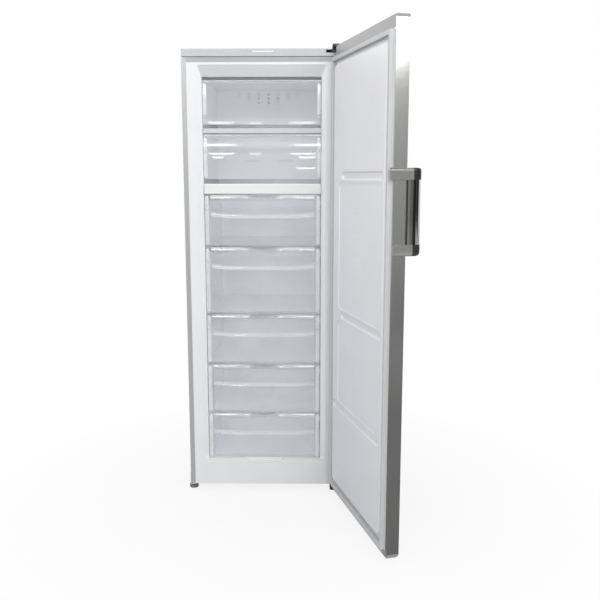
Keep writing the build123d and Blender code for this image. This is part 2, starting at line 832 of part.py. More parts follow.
# ================================================================ drawers
def front_section(bottom, top):
    """Flank section of a drawer front: flat lower panel under a bulging grip band."""
    band_bottom = top - band_height
    lower_face = front_plane + band_set_back
    nose = front_plane - band_bulge + 1.0
    edge = front_plane + 1.0
    with BuildSketch(flank(CABINET, -front_half + column_width)) as section:
        with BuildLine():
            Polyline(
                (edge + front_wall, top - front_wall),
                (front_back, top - front_wall),
                (front_back, top),
                (edge, top),
            )
            ThreePointArc((edge, top), (nose, top - band_height / 2), (edge, band_bottom))
            Polyline(
                (edge, band_bottom),
                (lower_face, band_bottom - band_set_back / 2),
                (lower_face, bottom),
                (front_back, bottom),
                (front_back, bottom + front_wall),
                (lower_face + front_wall, bottom + front_wall),
                (lower_face + front_wall, band_bottom - band_set_back / 2 + front_wall / 2),
                (edge + front_wall, band_bottom + front_wall),
            )
            ThreePointArc(
                (edge + front_wall, band_bottom + front_wall),
                (nose + front_wall, top - band_height / 2),
                (edge + front_wall, top - front_wall),
            )
        make_face()
    return section.sketch


def column_section(hand, bottom):
    """Plan section of the rounded upright at one end of a drawer front."""
    outer = hand * front_half
    inner = hand * (front_half - column_width)
    step = hand * front_wall
    with BuildSketch(level(CABINET, bottom)) as section:
        with BuildLine():
            FilletPolyline(
                (outer, front_back),
                (outer, front_plane),
                (inner, front_plane),
                (inner, front_back),
                radius=column_round,
            )
            Polyline(
                (inner, front_back),
                (inner + step, front_back),
            )
            FilletPolyline(
                (inner + step, front_back),
                (inner + step, front_plane + front_wall),
                (outer - step, front_plane + front_wall),
                (outer - step, front_back),
                radius=column_round - front_wall,
            )
            Line((outer - step, front_back), (outer, front_back))
        make_face()
    return section.sketch


def make_drawer(number, bottom, top, back):
    """Drawer in two pieces: a rimmed tub and the clear front with its grip band."""
    name = "drawer_" + str(number)
    floor = bottom + tub_floor_gap
    rim_top = top - rim_drop
    depth = back - front_back
    middle = (front_back + back) / 2
    with BuildPart() as tub:
        with BuildSketch(level(CABINET, floor)):
            with Locations((0, middle)):
                RectangleRounded(2 * tub_half, depth, tub_corner)
        extrude(amount=rim_top - floor)
        fillet(tub.faces().sort_by(Axis.Z)[0].edges(), tub_floor_round)
        with BuildSketch(level(CABINET, rim_top - rim_height)):
            with Locations((0, middle)):
                RectangleRounded(2 * (half_opening - rim_side_gap), depth, tub_corner)
        extrude(amount=rim_height)
        with BuildPart(mode=Mode.PRIVATE) as space:
            with BuildSketch(level(CABINET, floor + tub_wall)):
                with Locations((0, middle)):
                    RectangleRounded(2 * (tub_half - tub_wall), depth - 2 * tub_wall,
                                     tub_corner - tub_wall)
            extrude(amount=rim_top - floor)
            fillet(space.faces().sort_by(Axis.Z)[0].edges(), tub_floor_round - tub_wall)
        add(space.part, mode=Mode.SUBTRACT)
    keep(tub, name + "_tub")
    with BuildPart() as front:
        extrude(front_section(bottom, top), amount=2 * (front_half - column_width))
        for hand in (-1, 1):
            extrude(column_section(hand, bottom), amount=top - bottom)
        with BuildSketch(facing(CABINET, front_back)):
            with BuildLine():
                ThreePointArc((-scoop_width / 2, top), (0, top - scoop_drop), (scoop_width / 2, top))
                Line((scoop_width / 2, top), (-scoop_width / 2, top))
            make_face()
        extrude(amount=front_depth + band_bulge, mode=Mode.SUBTRACT)
    keep(front, name + "_front")


# ================================================================ flaps
def make_flap(number, axis_level, bottom, lipped):
    """Clear flap hung from a barrel with a pivot pin at each end."""
    half = half_opening - flap_side_gap
    face = flap_axis_y - flap_barrel
    with BuildPart() as flap:
        with BuildSketch(flank(CABINET, -half)):
            with Locations((flap_axis_y, axis_level)):
                Circle(flap_barrel)
            with BuildLine():
                if lipped:
                    lip_top = bottom + flap_lip_height
                    Polyline(
                        (face, axis_level),
                        (face, lip_top),
                        (face - flap_lip_reach, bottom + front_wall),
                        (face - flap_lip_reach, bottom),
                        (face + front_wall, bottom),
                        (face + front_wall, bottom + front_wall),
                        (face - flap_lip_reach + flap_wall, bottom + front_wall),
                        (face + flap_wall, lip_top),
                        (face + flap_wall, axis_level),
                        close=True,
                    )
                else:
                    band_top = axis_level - flap_band_height / 2
                    band_low = band_top - flap_band_height
                    Polyline((face + flap_wall, axis_level), (face, axis_level), (face, band_top))
                    ThreePointArc(
                        (face, band_top),
                        (face - flap_band_bulge, (band_top + band_low) / 2),
                        (face, band_low),
                    )
                    Polyline(
                        (face, band_low),
                        (face, bottom),
                        (face + flap_wall, bottom),
                        (face + flap_wall, band_low),
                    )
                    ThreePointArc(
                        (face + flap_wall, band_low),
                        (face + flap_wall - flap_band_bulge, (band_top + band_low) / 2),
                        (face + flap_wall, band_top),
                    )
                    Line((face + flap_wall, band_top), (face + flap_wall, axis_level))
            make_face()
        extrude(amount=2 * half)
        reach = flap_side_gap + flap_pin_reach - fit_gap
        bore(flank(CABINET, -half - reach), [(flap_axis_y, axis_level)], flap_pin,
             2 * (half + reach), mode=Mode.ADD)
    keep(flap, "flap_" + str(number))


# ================================================================ air duct and cold parts
drain_y = (duct_face + duct_wall + liner_depth) / 2


def make_duct_cover():
    """Inner rear wall with the fan's round vents and a pair of slots for each level."""
    half = half_opening - duct_side_gap
    with BuildPart() as cover:
        slab(CABINET, (-half, half), (duct_face, duct_face + duct_wall),
             (step_top + duct_side_gap, opening_top - duct_side_gap))
        with BuildSketch(facing(CABINET, duct_face + duct_wall)):
            for row, count in enumerate(vent_columns):
                row_level = opening_top - vent_first_row - row * vent_row_drop
                with Locations((0, row_level)):
                    with GridLocations(vent_pitch, vent_row_drop, count, 1):
                        Circle(vent_radius - row * vent_row_shrink)
            for bottom, top in zip(drawer_bottoms[:-1], drawer_tops[:-1]):
                with Locations((0, (bottom + top) / 2)):
                    with GridLocations(slot_spacing, slot_height, 2, 1):
                        SlotOverall(slot_length, slot_height)
            with Locations((0, (shelf_2_top + shelf_1_bottom) / 2)):
                with GridLocations(slot_spacing, slot_height, 2, 1):
                    SlotOverall(slot_length, slot_height)
        extrude(amount=duct_wall, mode=Mode.SUBTRACT)
    keep(cover, "air_duct_cover")


def make_fan():
    """Fan ring with spokes, motor behind it, and the bladed impeller."""
    rear = duct_face + duct_wall
    hub_face = rear + fan_ring_depth
    hub_at = (0, fan_level)
    with BuildPart() as shroud:
        with BuildSketch(facing(CABINET, hub_face)):
            with Locations(hub_at):
                Circle(fan_ring_radius + fan_ring_wall)
                Circle(fan_ring_radius, mode=Mode.SUBTRACT)
        extrude(amount=fan_ring_depth)
        with BuildSketch(facing(CABINET, hub_face)):
            with Locations(hub_at):
                with PolarLocations(fan_ring_radius / 2, 3, start_angle=90):
                    Rectangle(fan_ring_radius + fan_ring_wall, fan_spoke)
                Circle(fan_hub_radius)
                Circle(fan_shaft + 1.0, mode=Mode.SUBTRACT)
        extrude(amount=fan_spoke_thickness)
    keep(shroud, "fan_shroud")
    with BuildPart() as motor:
        with BuildSketch(facing(CABINET, hub_face + fan_motor_depth)):
            with Locations(hub_at):
                Circle(fan_motor_radius)
        extrude(amount=fan_motor_depth)
        fillet(motor.faces().sort_by(Axis.Y)[-1].edges(), foot_taper)
        bore(facing(CABINET, hub_face + fan_motor_depth / 2), [hub_at],
             fan_shaft + pin_clearance, fan_motor_depth / 2)
    keep(motor, "fan_motor")
    blade_front = hub_face - fan_spoke_thickness - 1.0 - impeller_depth
    blade_middle = blade_front + impeller_depth / 2
    with BuildPart() as impeller:
        for index in range(blade_count):
            turn = 360.0 / blade_count * index
            radial = Vector(1, 0, 0).rotate(Axis((0, 0, 0), (0, 1, 0)), turn)
            chord = Vector(0, 1, 0).rotate(Axis((0, 0, 0), radial), 90 - blade_pitch)
            hub_centre = CABINET.from_local_coords((0, blade_middle, fan_level))
            with BuildSketch(Plane(hub_centre + radial * impeller_hub * 0.8, chord, radial)) as root:
                SlotOverall(blade_root_width, blade_thickness)
            with BuildSketch(Plane(hub_centre + radial * blade_reach, chord, radial)) as tip:
                SlotOverall(blade_tip_width, blade_thickness)
            loft([root.sketch.face(), tip.sketch.face()])
        bore(facing(CABINET, blade_front + impeller_depth), [hub_at], impeller_hub, impeller_depth,
             mode=Mode.ADD)
        bore(facing(CABINET, hub_face + fan_motor_depth / 2 - 1.0), [hub_at], fan_shaft,
             hub_face + fan_motor_depth / 2 - 1.0 - blade_front, mode=Mode.ADD)
    keep(impeller, "fan_impeller")


def coil_levels():
    """Heights of the evaporator's tube runs."""
    step = coil_height / coil_runs
    return [coil_bottom + step * (index + 0.5) for index in range(coil_runs)]


def serpentine(plane, runs, reach, radius):
    """Back-and-forth tube: straight runs joined by half-turn bends on one plane."""
    half_step = abs(runs[1] - runs[0]) / 2
    with BuildLine(plane) as route:
        side = 1
        for index, height in enumerate(runs):
            Line((-side * reach, height), (side * reach, height))
            if index < len(runs) - 1:
                above = runs[index + 1]
                ThreePointArc((side * reach, height), (side * (reach + half_step), height + half_step),
                              (side * reach, above))
            side = -side
    start = route.wires()[0]
    with BuildPart() as tube:
        with BuildSketch(Plane(start @ 0, z_dir=start % 0)) as section:
            Circle(radius)
        sweep(section.sketch, path=start)
    return tube.part


def make_evaporator():
    """Aluminium fins on a serpentine tube, held between two end plates."""
    depth_at = drain_y
    plate_x = coil_half_width
    holes = [(depth_at, height) for height in coil_levels()]
    with BuildPart() as fins:
        for index in range(fin_count):
            share = index / (fin_count - 1)
            x = -plate_x + share * 2 * plate_x
            ends = index in (0, fin_count - 1)
            low = coil_bottom - (heater_drop + heater_tube * 3 if ends else 0)
            rear = liner_depth - fit_gap if ends else depth_at + coil_depth / 2
            slab(CABINET, (x - fin_thickness / 2, x + fin_thickness / 2),
                 (depth_at - coil_depth / 2, rear), (low, coil_bottom + coil_height))
        bore(flank(CABINET, -plate_x - fin_thickness), holes, coil_tube + pin_clearance,
             2 * (plate_x + fin_thickness))
        heater_holes = [(depth_at - heater_pitch / 2, coil_bottom - heater_drop),
                        (depth_at + heater_pitch / 2, coil_bottom - heater_drop)]
        bore(flank(CABINET, -plate_x - fin_thickness), heater_holes, heater_tube + pin_clearance,
             2 * (plate_x + fin_thickness))
    keep(fins, "evaporator_fins")
    tube_plane = facing(CABINET, depth_at)
    with BuildPart() as tube:
        add(serpentine(tube_plane, coil_levels(), plate_x + fin_thickness * 2, coil_tube))
    keep(tube, "evaporator_tube")
    heater_plane = level(CABINET, coil_bottom - heater_drop)
    runs = [depth_at - heater_pitch / 2, depth_at + heater_pitch / 2]
    with BuildPart() as heater:
        add(serpentine(heater_plane, runs, plate_x + fin_thickness * 2, heater_tube))
    keep(heater, "defrost_heater")


def make_drain():
    """Flanged drain tube from the liner's step down to the evaporation bowl."""
    with BuildPart() as drain:
        with BuildSketch(Plane(CABINET.from_local_coords((compressor_x, drain_y, 0)), CABINET.x_dir,
                               -CABINET.y_dir)):
            with BuildLine():
                Polyline(
                    (drain_bore, machine_roof - drain_reach),
                    (drain_outer, machine_roof - drain_reach),
                    (drain_outer, step_top),
                    (drain_flange, step_top),
                    (drain_flange, step_top + drain_flange_thickness),
                    (drain_bore, step_top + drain_flange_thickness),
                    close=True,
                )
            make_face()
        revolve(axis=Axis(CABINET.from_local_coords((compressor_x, drain_y, 0)), (0, 0, 1)))
    keep(drain, "drain_tube")


# ================================================================ machine compartment
compressor_y = drain_y
plate_level = floor_gap + tray_gauge + grommet_height
compressor_base = plate_level + foot_plate_gauge
compressor_top = compressor_base + compressor_height
bowl_level = compressor_top + fit_gap


def foot_plate_points():
    """Centres of the four rubber mounts."""
    along = foot_plate_long / 2 - foot_hole_inset
    across = foot_plate_wide / 2 - foot_hole_inset
    return [(compressor_x + i * along, compressor_y + j * across) for i in (-1, 1) for j in (-1, 1)]


def pipe_points():
    """Where the two refrigerant pipes and the drier leave through the compartment's roof."""
    side = compressor_radius + 4 * drier_radius
    return [(compressor_x - side, compressor_y), (compressor_x + side, compressor_y - pipe_spacing / 2),
            (compressor_x + side, compressor_y + pipe_spacing / 2)]


def make_compressor():
    """Hermetic compressor: domed shell on a foot plate, with its terminal cover."""
    foot = CABINET.from_local_coords((compressor_x, compressor_y, 0))
    dome = compressor_height * dome_share
    flat = compressor_radius * 0.45
    with BuildPart() as compressor:
        with BuildSketch(Plane(foot, CABINET.x_dir, -CABINET.y_dir)):
            with BuildLine():
                Line((0, compressor_base), (compressor_radius * 0.82, compressor_base))
                ThreePointArc(
                    (compressor_radius * 0.82, compressor_base),
                    (compressor_radius * 0.96, compressor_base + dome * 0.45),
                    (compressor_radius, compressor_base + dome),
                )
                Line((compressor_radius, compressor_base + dome),
                     (compressor_radius, compressor_top - dome))
                ThreePointArc(
                    (compressor_radius, compressor_top - dome),
                    (compressor_radius * 0.82, compressor_top - dome * 0.28),
                    (flat, compressor_top),
                )
                Line((flat, compressor_top), (0, compressor_top))
                Line((0, compressor_top), (0, compressor_base))
            make_face()
        revolve(axis=Axis(foot, (0, 0, 1)))
        with BuildSketch(level(CABINET, plate_level)):
            with Locations((compressor_x, compressor_y)):
                RectangleRounded(foot_plate_long, foot_plate_wide, foot_hole_inset * 0.8)
        extrude(amount=foot_plate_gauge)
        bore(level(CABINET, plate_level), foot_plate_points(), foot_stem + stem_clearance,
             foot_plate_gauge)
        slab(CABINET, (compressor_x - compressor_radius - terminal_cover / 2, compressor_x),
             (compressor_y - terminal_cover, compressor_y + terminal_cover),
             (compressor_base + dome, compressor_base + dome + 1.4 * terminal_cover))
    keep(compressor, "compressor")
    with BuildPart() as mounts:
        for x, y in foot_plate_points():
            at = CABINET.from_local_coords((x, y, 0))
            with BuildSketch(Plane(at, CABINET.x_dir, -CABINET.y_dir)) as section:
                with BuildLine():
                    Polyline(
                        (0, floor_gap - tray_gauge),
                        (foot_stem - 2 * stem_clearance, floor_gap - tray_gauge),
                        (foot_stem - 2 * stem_clearance, floor_gap + tray_gauge),
                        (grommet_radius, floor_gap + tray_gauge),
                        (grommet_radius, plate_level),
                        (foot_stem, plate_level),
                        (foot_stem, compressor_base + foot_plate_gauge),
                        (0, compressor_base + foot_plate_gauge),
                        close=True,
                    )
                make_face()
            revolve(section.sketch, axis=Axis(at, (0, 0, 1)))
    keep(mounts, "compressor_mounts")


def make_bowl():
    """Evaporation bowl that catches the defrost water on top of the compressor."""
    foot = CABINET.from_local_coords((compressor_x, compressor_y, 0))
    with BuildPart() as bowl:
        with BuildSketch(Plane(foot, CABINET.x_dir, -CABINET.y_dir)):
            with BuildLine():
                Polyline(
                    (0, bowl_level),
                    (bowl_radius - bowl_wall, bowl_level),
                    (bowl_radius, bowl_level + bowl_depth),
                    (bowl_radius - bowl_wall, bowl_level + bowl_depth),
                    (bowl_radius - 2 * bowl_wall, bowl_level + bowl_wall),
                    (0, bowl_level + bowl_wall),
                    close=True,
                )
            make_face()
        revolve(axis=Axis(foot, (0, 0, 1)))
    keep(bowl, "evaporation_bowl")


def make_refrigerant_lines():
    """Filter drier, and the suction and discharge pipes between compressor and roof."""
    left, suction, discharge = pipe_points()
    port_level = compressor_base + compressor_height / 2
    shell_x = (compressor_radius ** 2 - (pipe_spacing / 2 - pipe_radius) ** 2) ** 0.5
    with BuildPart() as pipes:
        for x, depth in (suction, discharge):
            with BuildLine(facing(CABINET, depth)) as route:
                FilletPolyline(
                    (compressor_x + shell_x + fit_gap, port_level),
                    (x, port_level),
                    (x, machine_roof - fit_gap),
                    radius=4 * pipe_radius,
                )
            wire = route.wires()[0]
            with BuildSketch(Plane(wire @ 0, z_dir=wire % 0)) as section:
                Circle(pipe_radius)
            sweep(section.sketch, path=wire)
    keep(pipes, "refrigerant_pipes")
    with BuildPart() as drier:
        at = CABINET.from_local_coords((left[0], left[1], 0))
        low = machine_roof - drier_length - 4 * pipe_radius
        with BuildSketch(Plane(at, CABINET.x_dir, -CABINET.y_dir)):
            with BuildLine():
                Polyline(
                    (0, low),
                    (pipe_radius, low),
                    (drier_radius, low + drier_radius),
                    (drier_radius, low + drier_length - drier_radius),
                    (pipe_radius, low + drier_length),
                    (pipe_radius, machine_roof - fit_gap),
                    (0, machine_roof - fit_gap),
                    close=True,
                )
            make_face()
        revolve(axis=Axis(at, (0, 0, 1)))
    keep(drier, "filter_drier")


def make_condenser():
    """Condenser tube laid in a serpentine against the back panel."""
    depth_at = cabinet_depth - sheet - condenser_tube - fit_gap
    half = (condenser_runs - 1) * condenser_pitch / 2
    columns = [-half + index * condenser_pitch for index in range(condenser_runs)]
    upright = Plane(CABINET.from_local_coords((0, depth_at, 0)), (0, 0, 1), -CABINET.y_dir)
    middle = condenser_bottom + condenser_height / 2
    shifted = Plane(upright.from_local_coords((middle, 0, 0)), upright.x_dir, upright.z_dir)
    with BuildPart() as tube:
        add(serpentine(shifted, columns, condenser_height / 2, condenser_tube))
    keep(tube, "condenser")


def make_control_box():
    """Electronics housing on the foam under the top cover."""
    with BuildPart() as box:
        slab(CABINET, (-board_length / 2, board_length / 2), (board_back, board_back + board_width),
             (panel_top, panel_top + board_height))
        fillet(box.edges().filter_by(Axis.Z), foot_taper)
        chamfer(box.faces().sort_by(Axis.Z)[-1].edges(), foot_taper * 0.7)
    keep(box, "control_box")


# ================================================================ hinges
hinge_slot_wall = 2.0
hinge_right = half_width - hinge_slot_wall - fit_gap
hinge_left = hinge_right - hinge_width + hinge_slot_wall


def upper_screw_points():
    """Three screws that hold the top hinge."""
    middle = (hinge_left + hinge_right) / 2
    row = hinge_rear - upper_screw_row
    half = upper_screw_spread / 2
    return [(middle - half, row), (middle + half, row), (middle, hinge_rear - upper_screw_third)]


def lower_screw_points():
    """Two screws that hold the bottom hinge, behind the foot's stem."""
    middle = (hinge_left + hinge_right) / 2
    row = lower_plate_rear - lower_screw_row
    half = lower_screw_spread / 2
    return [(middle - half, row), (middle + half, row)]


def make_top_hinge():
    """Steel hinge: foot under the cover, riser outside, arm over the door and knuckle."""
    top = cabinet_height + hinge_over
    riser_in = cover_groove_depth + top_cover_wall + 1.5
    with BuildPart() as hinge:
        with BuildSketch(flank(CABINET, hinge_left)):
            with BuildLine():
                Polyline(
                    (hinge_rear, panel_top),
                    (riser_in, panel_top),
                    (riser_in, hinge_slot_level),
                    (-hinge_riser, hinge_slot_level),
                    (-hinge_riser, top),
                    (axis_y - hinge_nose, top),
                    (axis_y - hinge_nose, top + hinge_arm),
                    (-hinge_riser + hinge_gauge, top + hinge_arm),
                    (-hinge_riser + hinge_gauge, hinge_slot_level + hinge_gauge),
                    (riser_in + hinge_gauge, hinge_slot_level + hinge_gauge),
                    (riser_in + hinge_gauge, panel_top + hinge_gauge),
                    (hinge_rear, panel_top + hinge_gauge),
                    close=True,
                )
            make_face()
        extrude(amount=hinge_right - hinge_left)
        nose = hinge.edges().filter_by(Axis.Z).group_by(Axis.Y)[0]
        fillet(nose, hinge_nose * 0.45)
        bore(level(CABINET, knuckle_low), [(axis_x, axis_y)], knuckle_radius,
             top + hinge_arm - knuckle_low, mode=Mode.ADD)
        bore(level(CABINET, knuckle_low - upper_pin_length), [(axis_x, axis_y)], pin_radius,
             upper_pin_length, mode=Mode.ADD)
        bore(level(CABINET, panel_top), upper_screw_points(), screw_shank + fit_gap, hinge_gauge)
    keep(hinge, "top_hinge")


def make_bottom_hinge():
    """Flat steel hinge under the cabinet, with its pin and a hole for the foot."""
    with BuildPart() as hinge:
        with BuildSketch(level(CABINET, floor_gap - lower_plate_gauge)):
            with Locations(((hinge_left + half_width) / 2, (lower_plate_rear + axis_y - hinge_nose) / 2)):
                Rectangle(half_width - hinge_left, lower_plate_rear - axis_y + hinge_nose)
        extrude(amount=lower_plate_gauge)
        fillet(hinge.edges().filter_by(Axis.Z), hinge_nose * 0.45)
        bore(level(CABINET, floor_gap), [(axis_x, axis_y)], pin_radius, pin_length, mode=Mode.ADD)
        bore(level(CABINET, floor_gap - lower_plate_gauge), [(foot_x, foot_back)],
             foot_stem + stem_clearance, lower_plate_gauge)
        bore(level(CABINET, floor_gap - lower_plate_gauge), lower_screw_points(),
             screw_shank + fit_gap, lower_plate_gauge)
    keep(hinge, "bottom_hinge")


def make_hinge_screws():
    """Hexagon-headed screws of both hinges, as one group."""
    with BuildPart() as screws:
        with BuildSketch(level(CABINET, panel_top + hinge_gauge)):
            with Locations(*upper_screw_points()):
                RegularPolygon(screw_head, 6)
        extrude(amount=screw_head_height)
        bore(level(CABINET, panel_top + hinge_gauge - screw_grip), upper_screw_points(), screw_shank,
             screw_grip, mode=Mode.ADD)
        under = floor_gap - lower_plate_gauge
        with BuildSketch(level(CABINET, under - screw_head_height)):
            with Locations(*lower_screw_points()):
                RegularPolygon(screw_head, 6)
        extrude(amount=screw_head_height)
        bore(level(CABINET, under), lower_screw_points(), screw_shank, screw_grip, mode=Mode.ADD)
    keep(screws, "hinge_screws")


# ================================================================ door
def door_profile():
    """Flank outline of the door, rounded along its outer upper and lower edges."""
    with BuildSketch(flank(DOOR, -half_width)) as outline:
        with BuildLine():
            Polyline(
                (door_rim, door_bottom),
                (door_rim, cabinet_height),
                (door_face + skin_upper_round, cabinet_height),
            )
            RadiusArc((door_face + skin_upper_round, cabinet_height),
                      (door_face, cabinet_height - skin_upper_round), -skin_upper_round)
            Line((door_face, cabinet_height - skin_upper_round),
                 (door_face, door_bottom + skin_lower_round))
            RadiusArc((door_face, door_bottom + skin_lower_round),
                      (door_face + skin_lower_round, door_bottom), -skin_lower_round)
            Line((door_face + skin_lower_round, door_bottom), (door_rim, door_bottom))
        make_face()
    return outline.sketch


def cut_hinge_pocket():
    """Room for the top hinge's knuckle in the door's upper corner."""
    reach = knuckle_radius + knuckle_gap
    bore(level(DOOR, pocket_floor), [(axis_x, axis_y)], reach, cabinet_height - pocket_floor)
    slab(DOOR, (axis_x - reach, half_width), (axis_y, door_rim), (pocket_floor, cabinet_height),
         mode=Mode.SUBTRACT)


def make_door_skin():
    """Steel skin: front and both sides folded from one sheet, with inner returns."""
    with BuildPart() as skin:
        extrude(door_profile(), amount=cabinet_width)
        slab(DOOR, (-half_width, half_width), (door_face, door_rim),
             (door_bottom + lower_band + cap_joint, cabinet_height - upper_band - cap_joint),
             mode=Mode.INTERSECT)
        slab(DOOR, (-inner_half, inner_half), (door_face + sheet, 0), (0, cabinet_height + 1),
             mode=Mode.SUBTRACT)
        for hand in (-1, 1):
            xs = sorted((hand * (half_width - skin_flange), hand * inner_half))
            slab(DOOR, xs, (door_rim - sheet, door_rim), (door_cap_bottom, door_cap_top))
        cut_hinge_pocket()
        bore(flank(DOOR, -half_width), [(handle_screw_y, handle_screw_z)], screw_shank + fit_gap, sheet)
    keep(skin, "door_skin")


def make_door_cap(upper):
    """Moulded end cap that closes the skin above or below and takes a hinge bush."""
    with BuildPart() as cap:
        extrude(door_profile(), amount=cabinet_width)
        if upper:
            band = (cabinet_height - upper_band, cabinet_height)
            plug = (door_cap_top, cabinet_height - upper_band)
            start = pocket_floor - upper_bush_length
        else:
            band = (door_bottom, door_bottom + lower_band)
            plug = (door_bottom + lower_band, door_cap_bottom)
            start = door_bottom
        slab(DOOR, (-half_width, half_width), (door_face, door_rim), band, mode=Mode.INTERSECT)
        slab(DOOR, (-inner_half, inner_half), (door_face + sheet, door_rim), plug)
        bore(level(DOOR, start), [(axis_x, axis_y)], bush_sleeve + fit_gap,
             upper_bush_length if upper else bush_length)
        if upper:
            cut_hinge_pocket()
            seam_x = (inner_half - skin_flange) / 3
            slab(DOOR, (-seam_x - sheet, -seam_x), (door_rim - sheet, door_rim),
                 (door_cap_top, cabinet_height), mode=Mode.SUBTRACT)
    keep(cap, "door_top_cap" if upper else "door_bottom_cap")


def make_hinge_bushes():
    """Flanged plastic bushes in the door's end caps that turn on the hinge pins."""
    with BuildPart() as bushes:
        bore(level(DOOR, pocket_floor - upper_bush_length), [(axis_x, axis_y)], bush_sleeve,
             upper_bush_length, mode=Mode.ADD)
        bore(level(DOOR, pocket_floor), [(axis_x, axis_y)], bush_flange, hinge_over - fit_gap,
             mode=Mode.ADD)
        low = door_bottom
        bore(level(DOOR, low), [(axis_x, axis_y)], bush_sleeve, bush_length, mode=Mode.ADD)
        bore(level(DOOR, floor_gap + fit_gap), [(axis_x, axis_y)], bush_flange,
             low - floor_gap - fit_gap, mode=Mode.ADD)
        bore(level(DOOR, door_cap_top), [(axis_x, axis_y)], pin_radius + pin_clearance,
             cabinet_height - door_cap_top)
        bore(level(DOOR, 0), [(axis_x, axis_y)], pin_radius + pin_clearance,
             floor_gap + pin_length + 1)
    keep(bushes, "hinge_bushes")


def plateau_form(shrink):
    """Raised inner panel of the door: sloped edges, pressed grooves, shallow fields."""
    low = plateau_low
    high = plateau_high
    middle = (low + high) / 2
    base = (2 * plateau_half - 2 * shrink, high - low - 2 * shrink)
    inset = 2 * plateau_slope
    with BuildPart() as form:
        with BuildSketch(facing(DOOR, door_rim)) as foot:
            with Locations((0, middle)):
                RectangleRounded(base[0], base[1], recess_round)
        with BuildSketch(facing(DOOR, door_rim + plateau_depth - shrink)) as crown:
            with Locations((0, middle)):
                RectangleRounded(base[0] - inset, base[1] - inset, recess_round)
        loft([foot.sketch.face(), crown.sketch.face()])
        with BuildSketch(facing(DOOR, door_rim + plateau_depth)) as grooves:
            for groove, (hinge_end, free_end) in zip(groove_levels, groove_ends):
                right = plateau_half - plateau_slope - hinge_end
                left = plateau_slope + free_end - plateau_half
                with Locations(((left + right) / 2, groove)):
                    SlotOverall(right - left + 2 * shrink, groove_height + 2 * shrink)
        extrude(grooves.sketch, amount=groove_depth + shrink, taper=groove_taper,
                mode=Mode.SUBTRACT)
        with BuildSketch(facing(DOOR, door_rim + plateau_depth)) as fields:
            for upper, lower in zip(groove_levels[:-1], groove_levels[1:]):
                with Locations((-hinge_forward / 2, (upper + lower) / 2)):
                    RectangleRounded(2 * field_half_length + 2 * shrink,
                                     upper - lower - 2 * recess_margin + 2 * shrink,
                                     recess_round)
        extrude(fields.sketch, amount=recess_depth + shrink, mode=Mode.SUBTRACT)
    return form.part


def make_door_liner():
    """Vacuum-formed inner panel: thin rim under the gasket and hollow raised middle."""
    rim_half = half_width - skin_flange - fit_gap
    with BuildPart() as liner:
        slab(DOOR, (-rim_half, rim_half), (door_rim - door_liner_wall, door_rim),
             (door_cap_bottom, door_cap_top))
        add(plateau_form(0))
        with BuildPart(mode=Mode.PRIVATE) as space:
            add(plateau_form(door_liner_wall))
            reach = plateau_half - recess_round
            slab(DOOR, (-reach, reach), (door_rim - door_liner_wall, door_rim),
                 (plateau_low + recess_round, plateau_high - recess_round))
        add(space.part, mode=Mode.SUBTRACT)
    keep(liner, "door_liner")


def make_door_insulation():
    """Foam core of the door, filling the skin behind the liner."""
    with BuildPart() as foam:
        slab(DOOR, (-inner_half, inner_half), (door_face + sheet, door_rim - door_liner_wall),
             (door_cap_bottom, door_cap_top))
        bore(flank(DOOR, -inner_half), [(handle_screw_y, handle_screw_z)], screw_shank + fit_gap,
             screw_grip)
    keep(foam, "door_insulation")


def make_gasket():
    """Magnetic door gasket in three layers: foot, bellows and magnet head."""
    low = door_cap_bottom + sheet
    high = door_cap_top - sheet
    middle = (low + high) / 2
    size = (2 * (half_width - gasket_inset), high - low)
    waist = (gasket_width - gasket_bellows) / 2
    head_level = -gasket_touch - gasket_head
    with BuildPart() as gasket:
        ring(facing(DOOR, door_rim + gasket_base), size, gasket_width, (0, middle), gasket_base)
        ring(facing(DOOR, head_level), (size[0] - 2 * waist, size[1] - 2 * waist), gasket_bellows,
             (0, middle), head_level - door_rim - gasket_base)
        ring(facing(DOOR, -gasket_touch), (size[0] - waist, size[1] - waist),
             gasket_width - waist, (0, middle), gasket_head)
    keep(gasket, "door_gasket")


# ================================================================ handle
handle_screw_y = (door_rim + door_face) / 2
handle_screw_z = handle_lower + bracket_height / 2


def make_bracket(lower):
    """Handle bracket: a leg on the door's edge and a block that stands out in front."""
    base = handle_lower if lower else handle_upper - bracket_height
    inner = -half_width + bracket_depth_in - bracket_thickness
    end = door_rim + (0 if lower else bracket_clip)
    with BuildPart() as bracket:
        with BuildSketch(level(DOOR, base)):
            with BuildLine():
                Polyline(
                    (-half_width, end),
                    (handle_side, end),
                    (handle_side, handle_nose),
                    (inner, handle_nose),
                    (inner, door_face),
                    (-half_width, door_face),
                    close=True,
                )
            make_face()
        extrude(amount=bracket_height)
        uprights = bracket.edges().filter_by(Axis.Z)
        corner = DOOR.from_local_coords((handle_side, handle_nose, base))
        nose = uprights.sort_by_distance(corner)[0]
        fillet(nose, bracket_nose_round)
        front_face = bracket.faces().filter_by(lambda face: face.normal_at().dot(-DOOR.y_dir) > 0.99)
        front_face = front_face.sort_by_distance(corner)[0]
        rim = front_face.edges().filter_by(lambda edge: abs((edge % 0.5).Z) < 0.1)
        rim = rim.sort_by(Axis.Z)[0 if lower else -1]
        fillet(rim, bracket_lower_round if lower else bracket_round)
        if lower:
            bore(flank(DOOR, handle_side), [(handle_screw_y, handle_screw_z)],
                 screw_shank + fit_gap, bracket_thickness)
    keep(bracket, "handle_bracket_lower" if lower else "handle_bracket_upper")


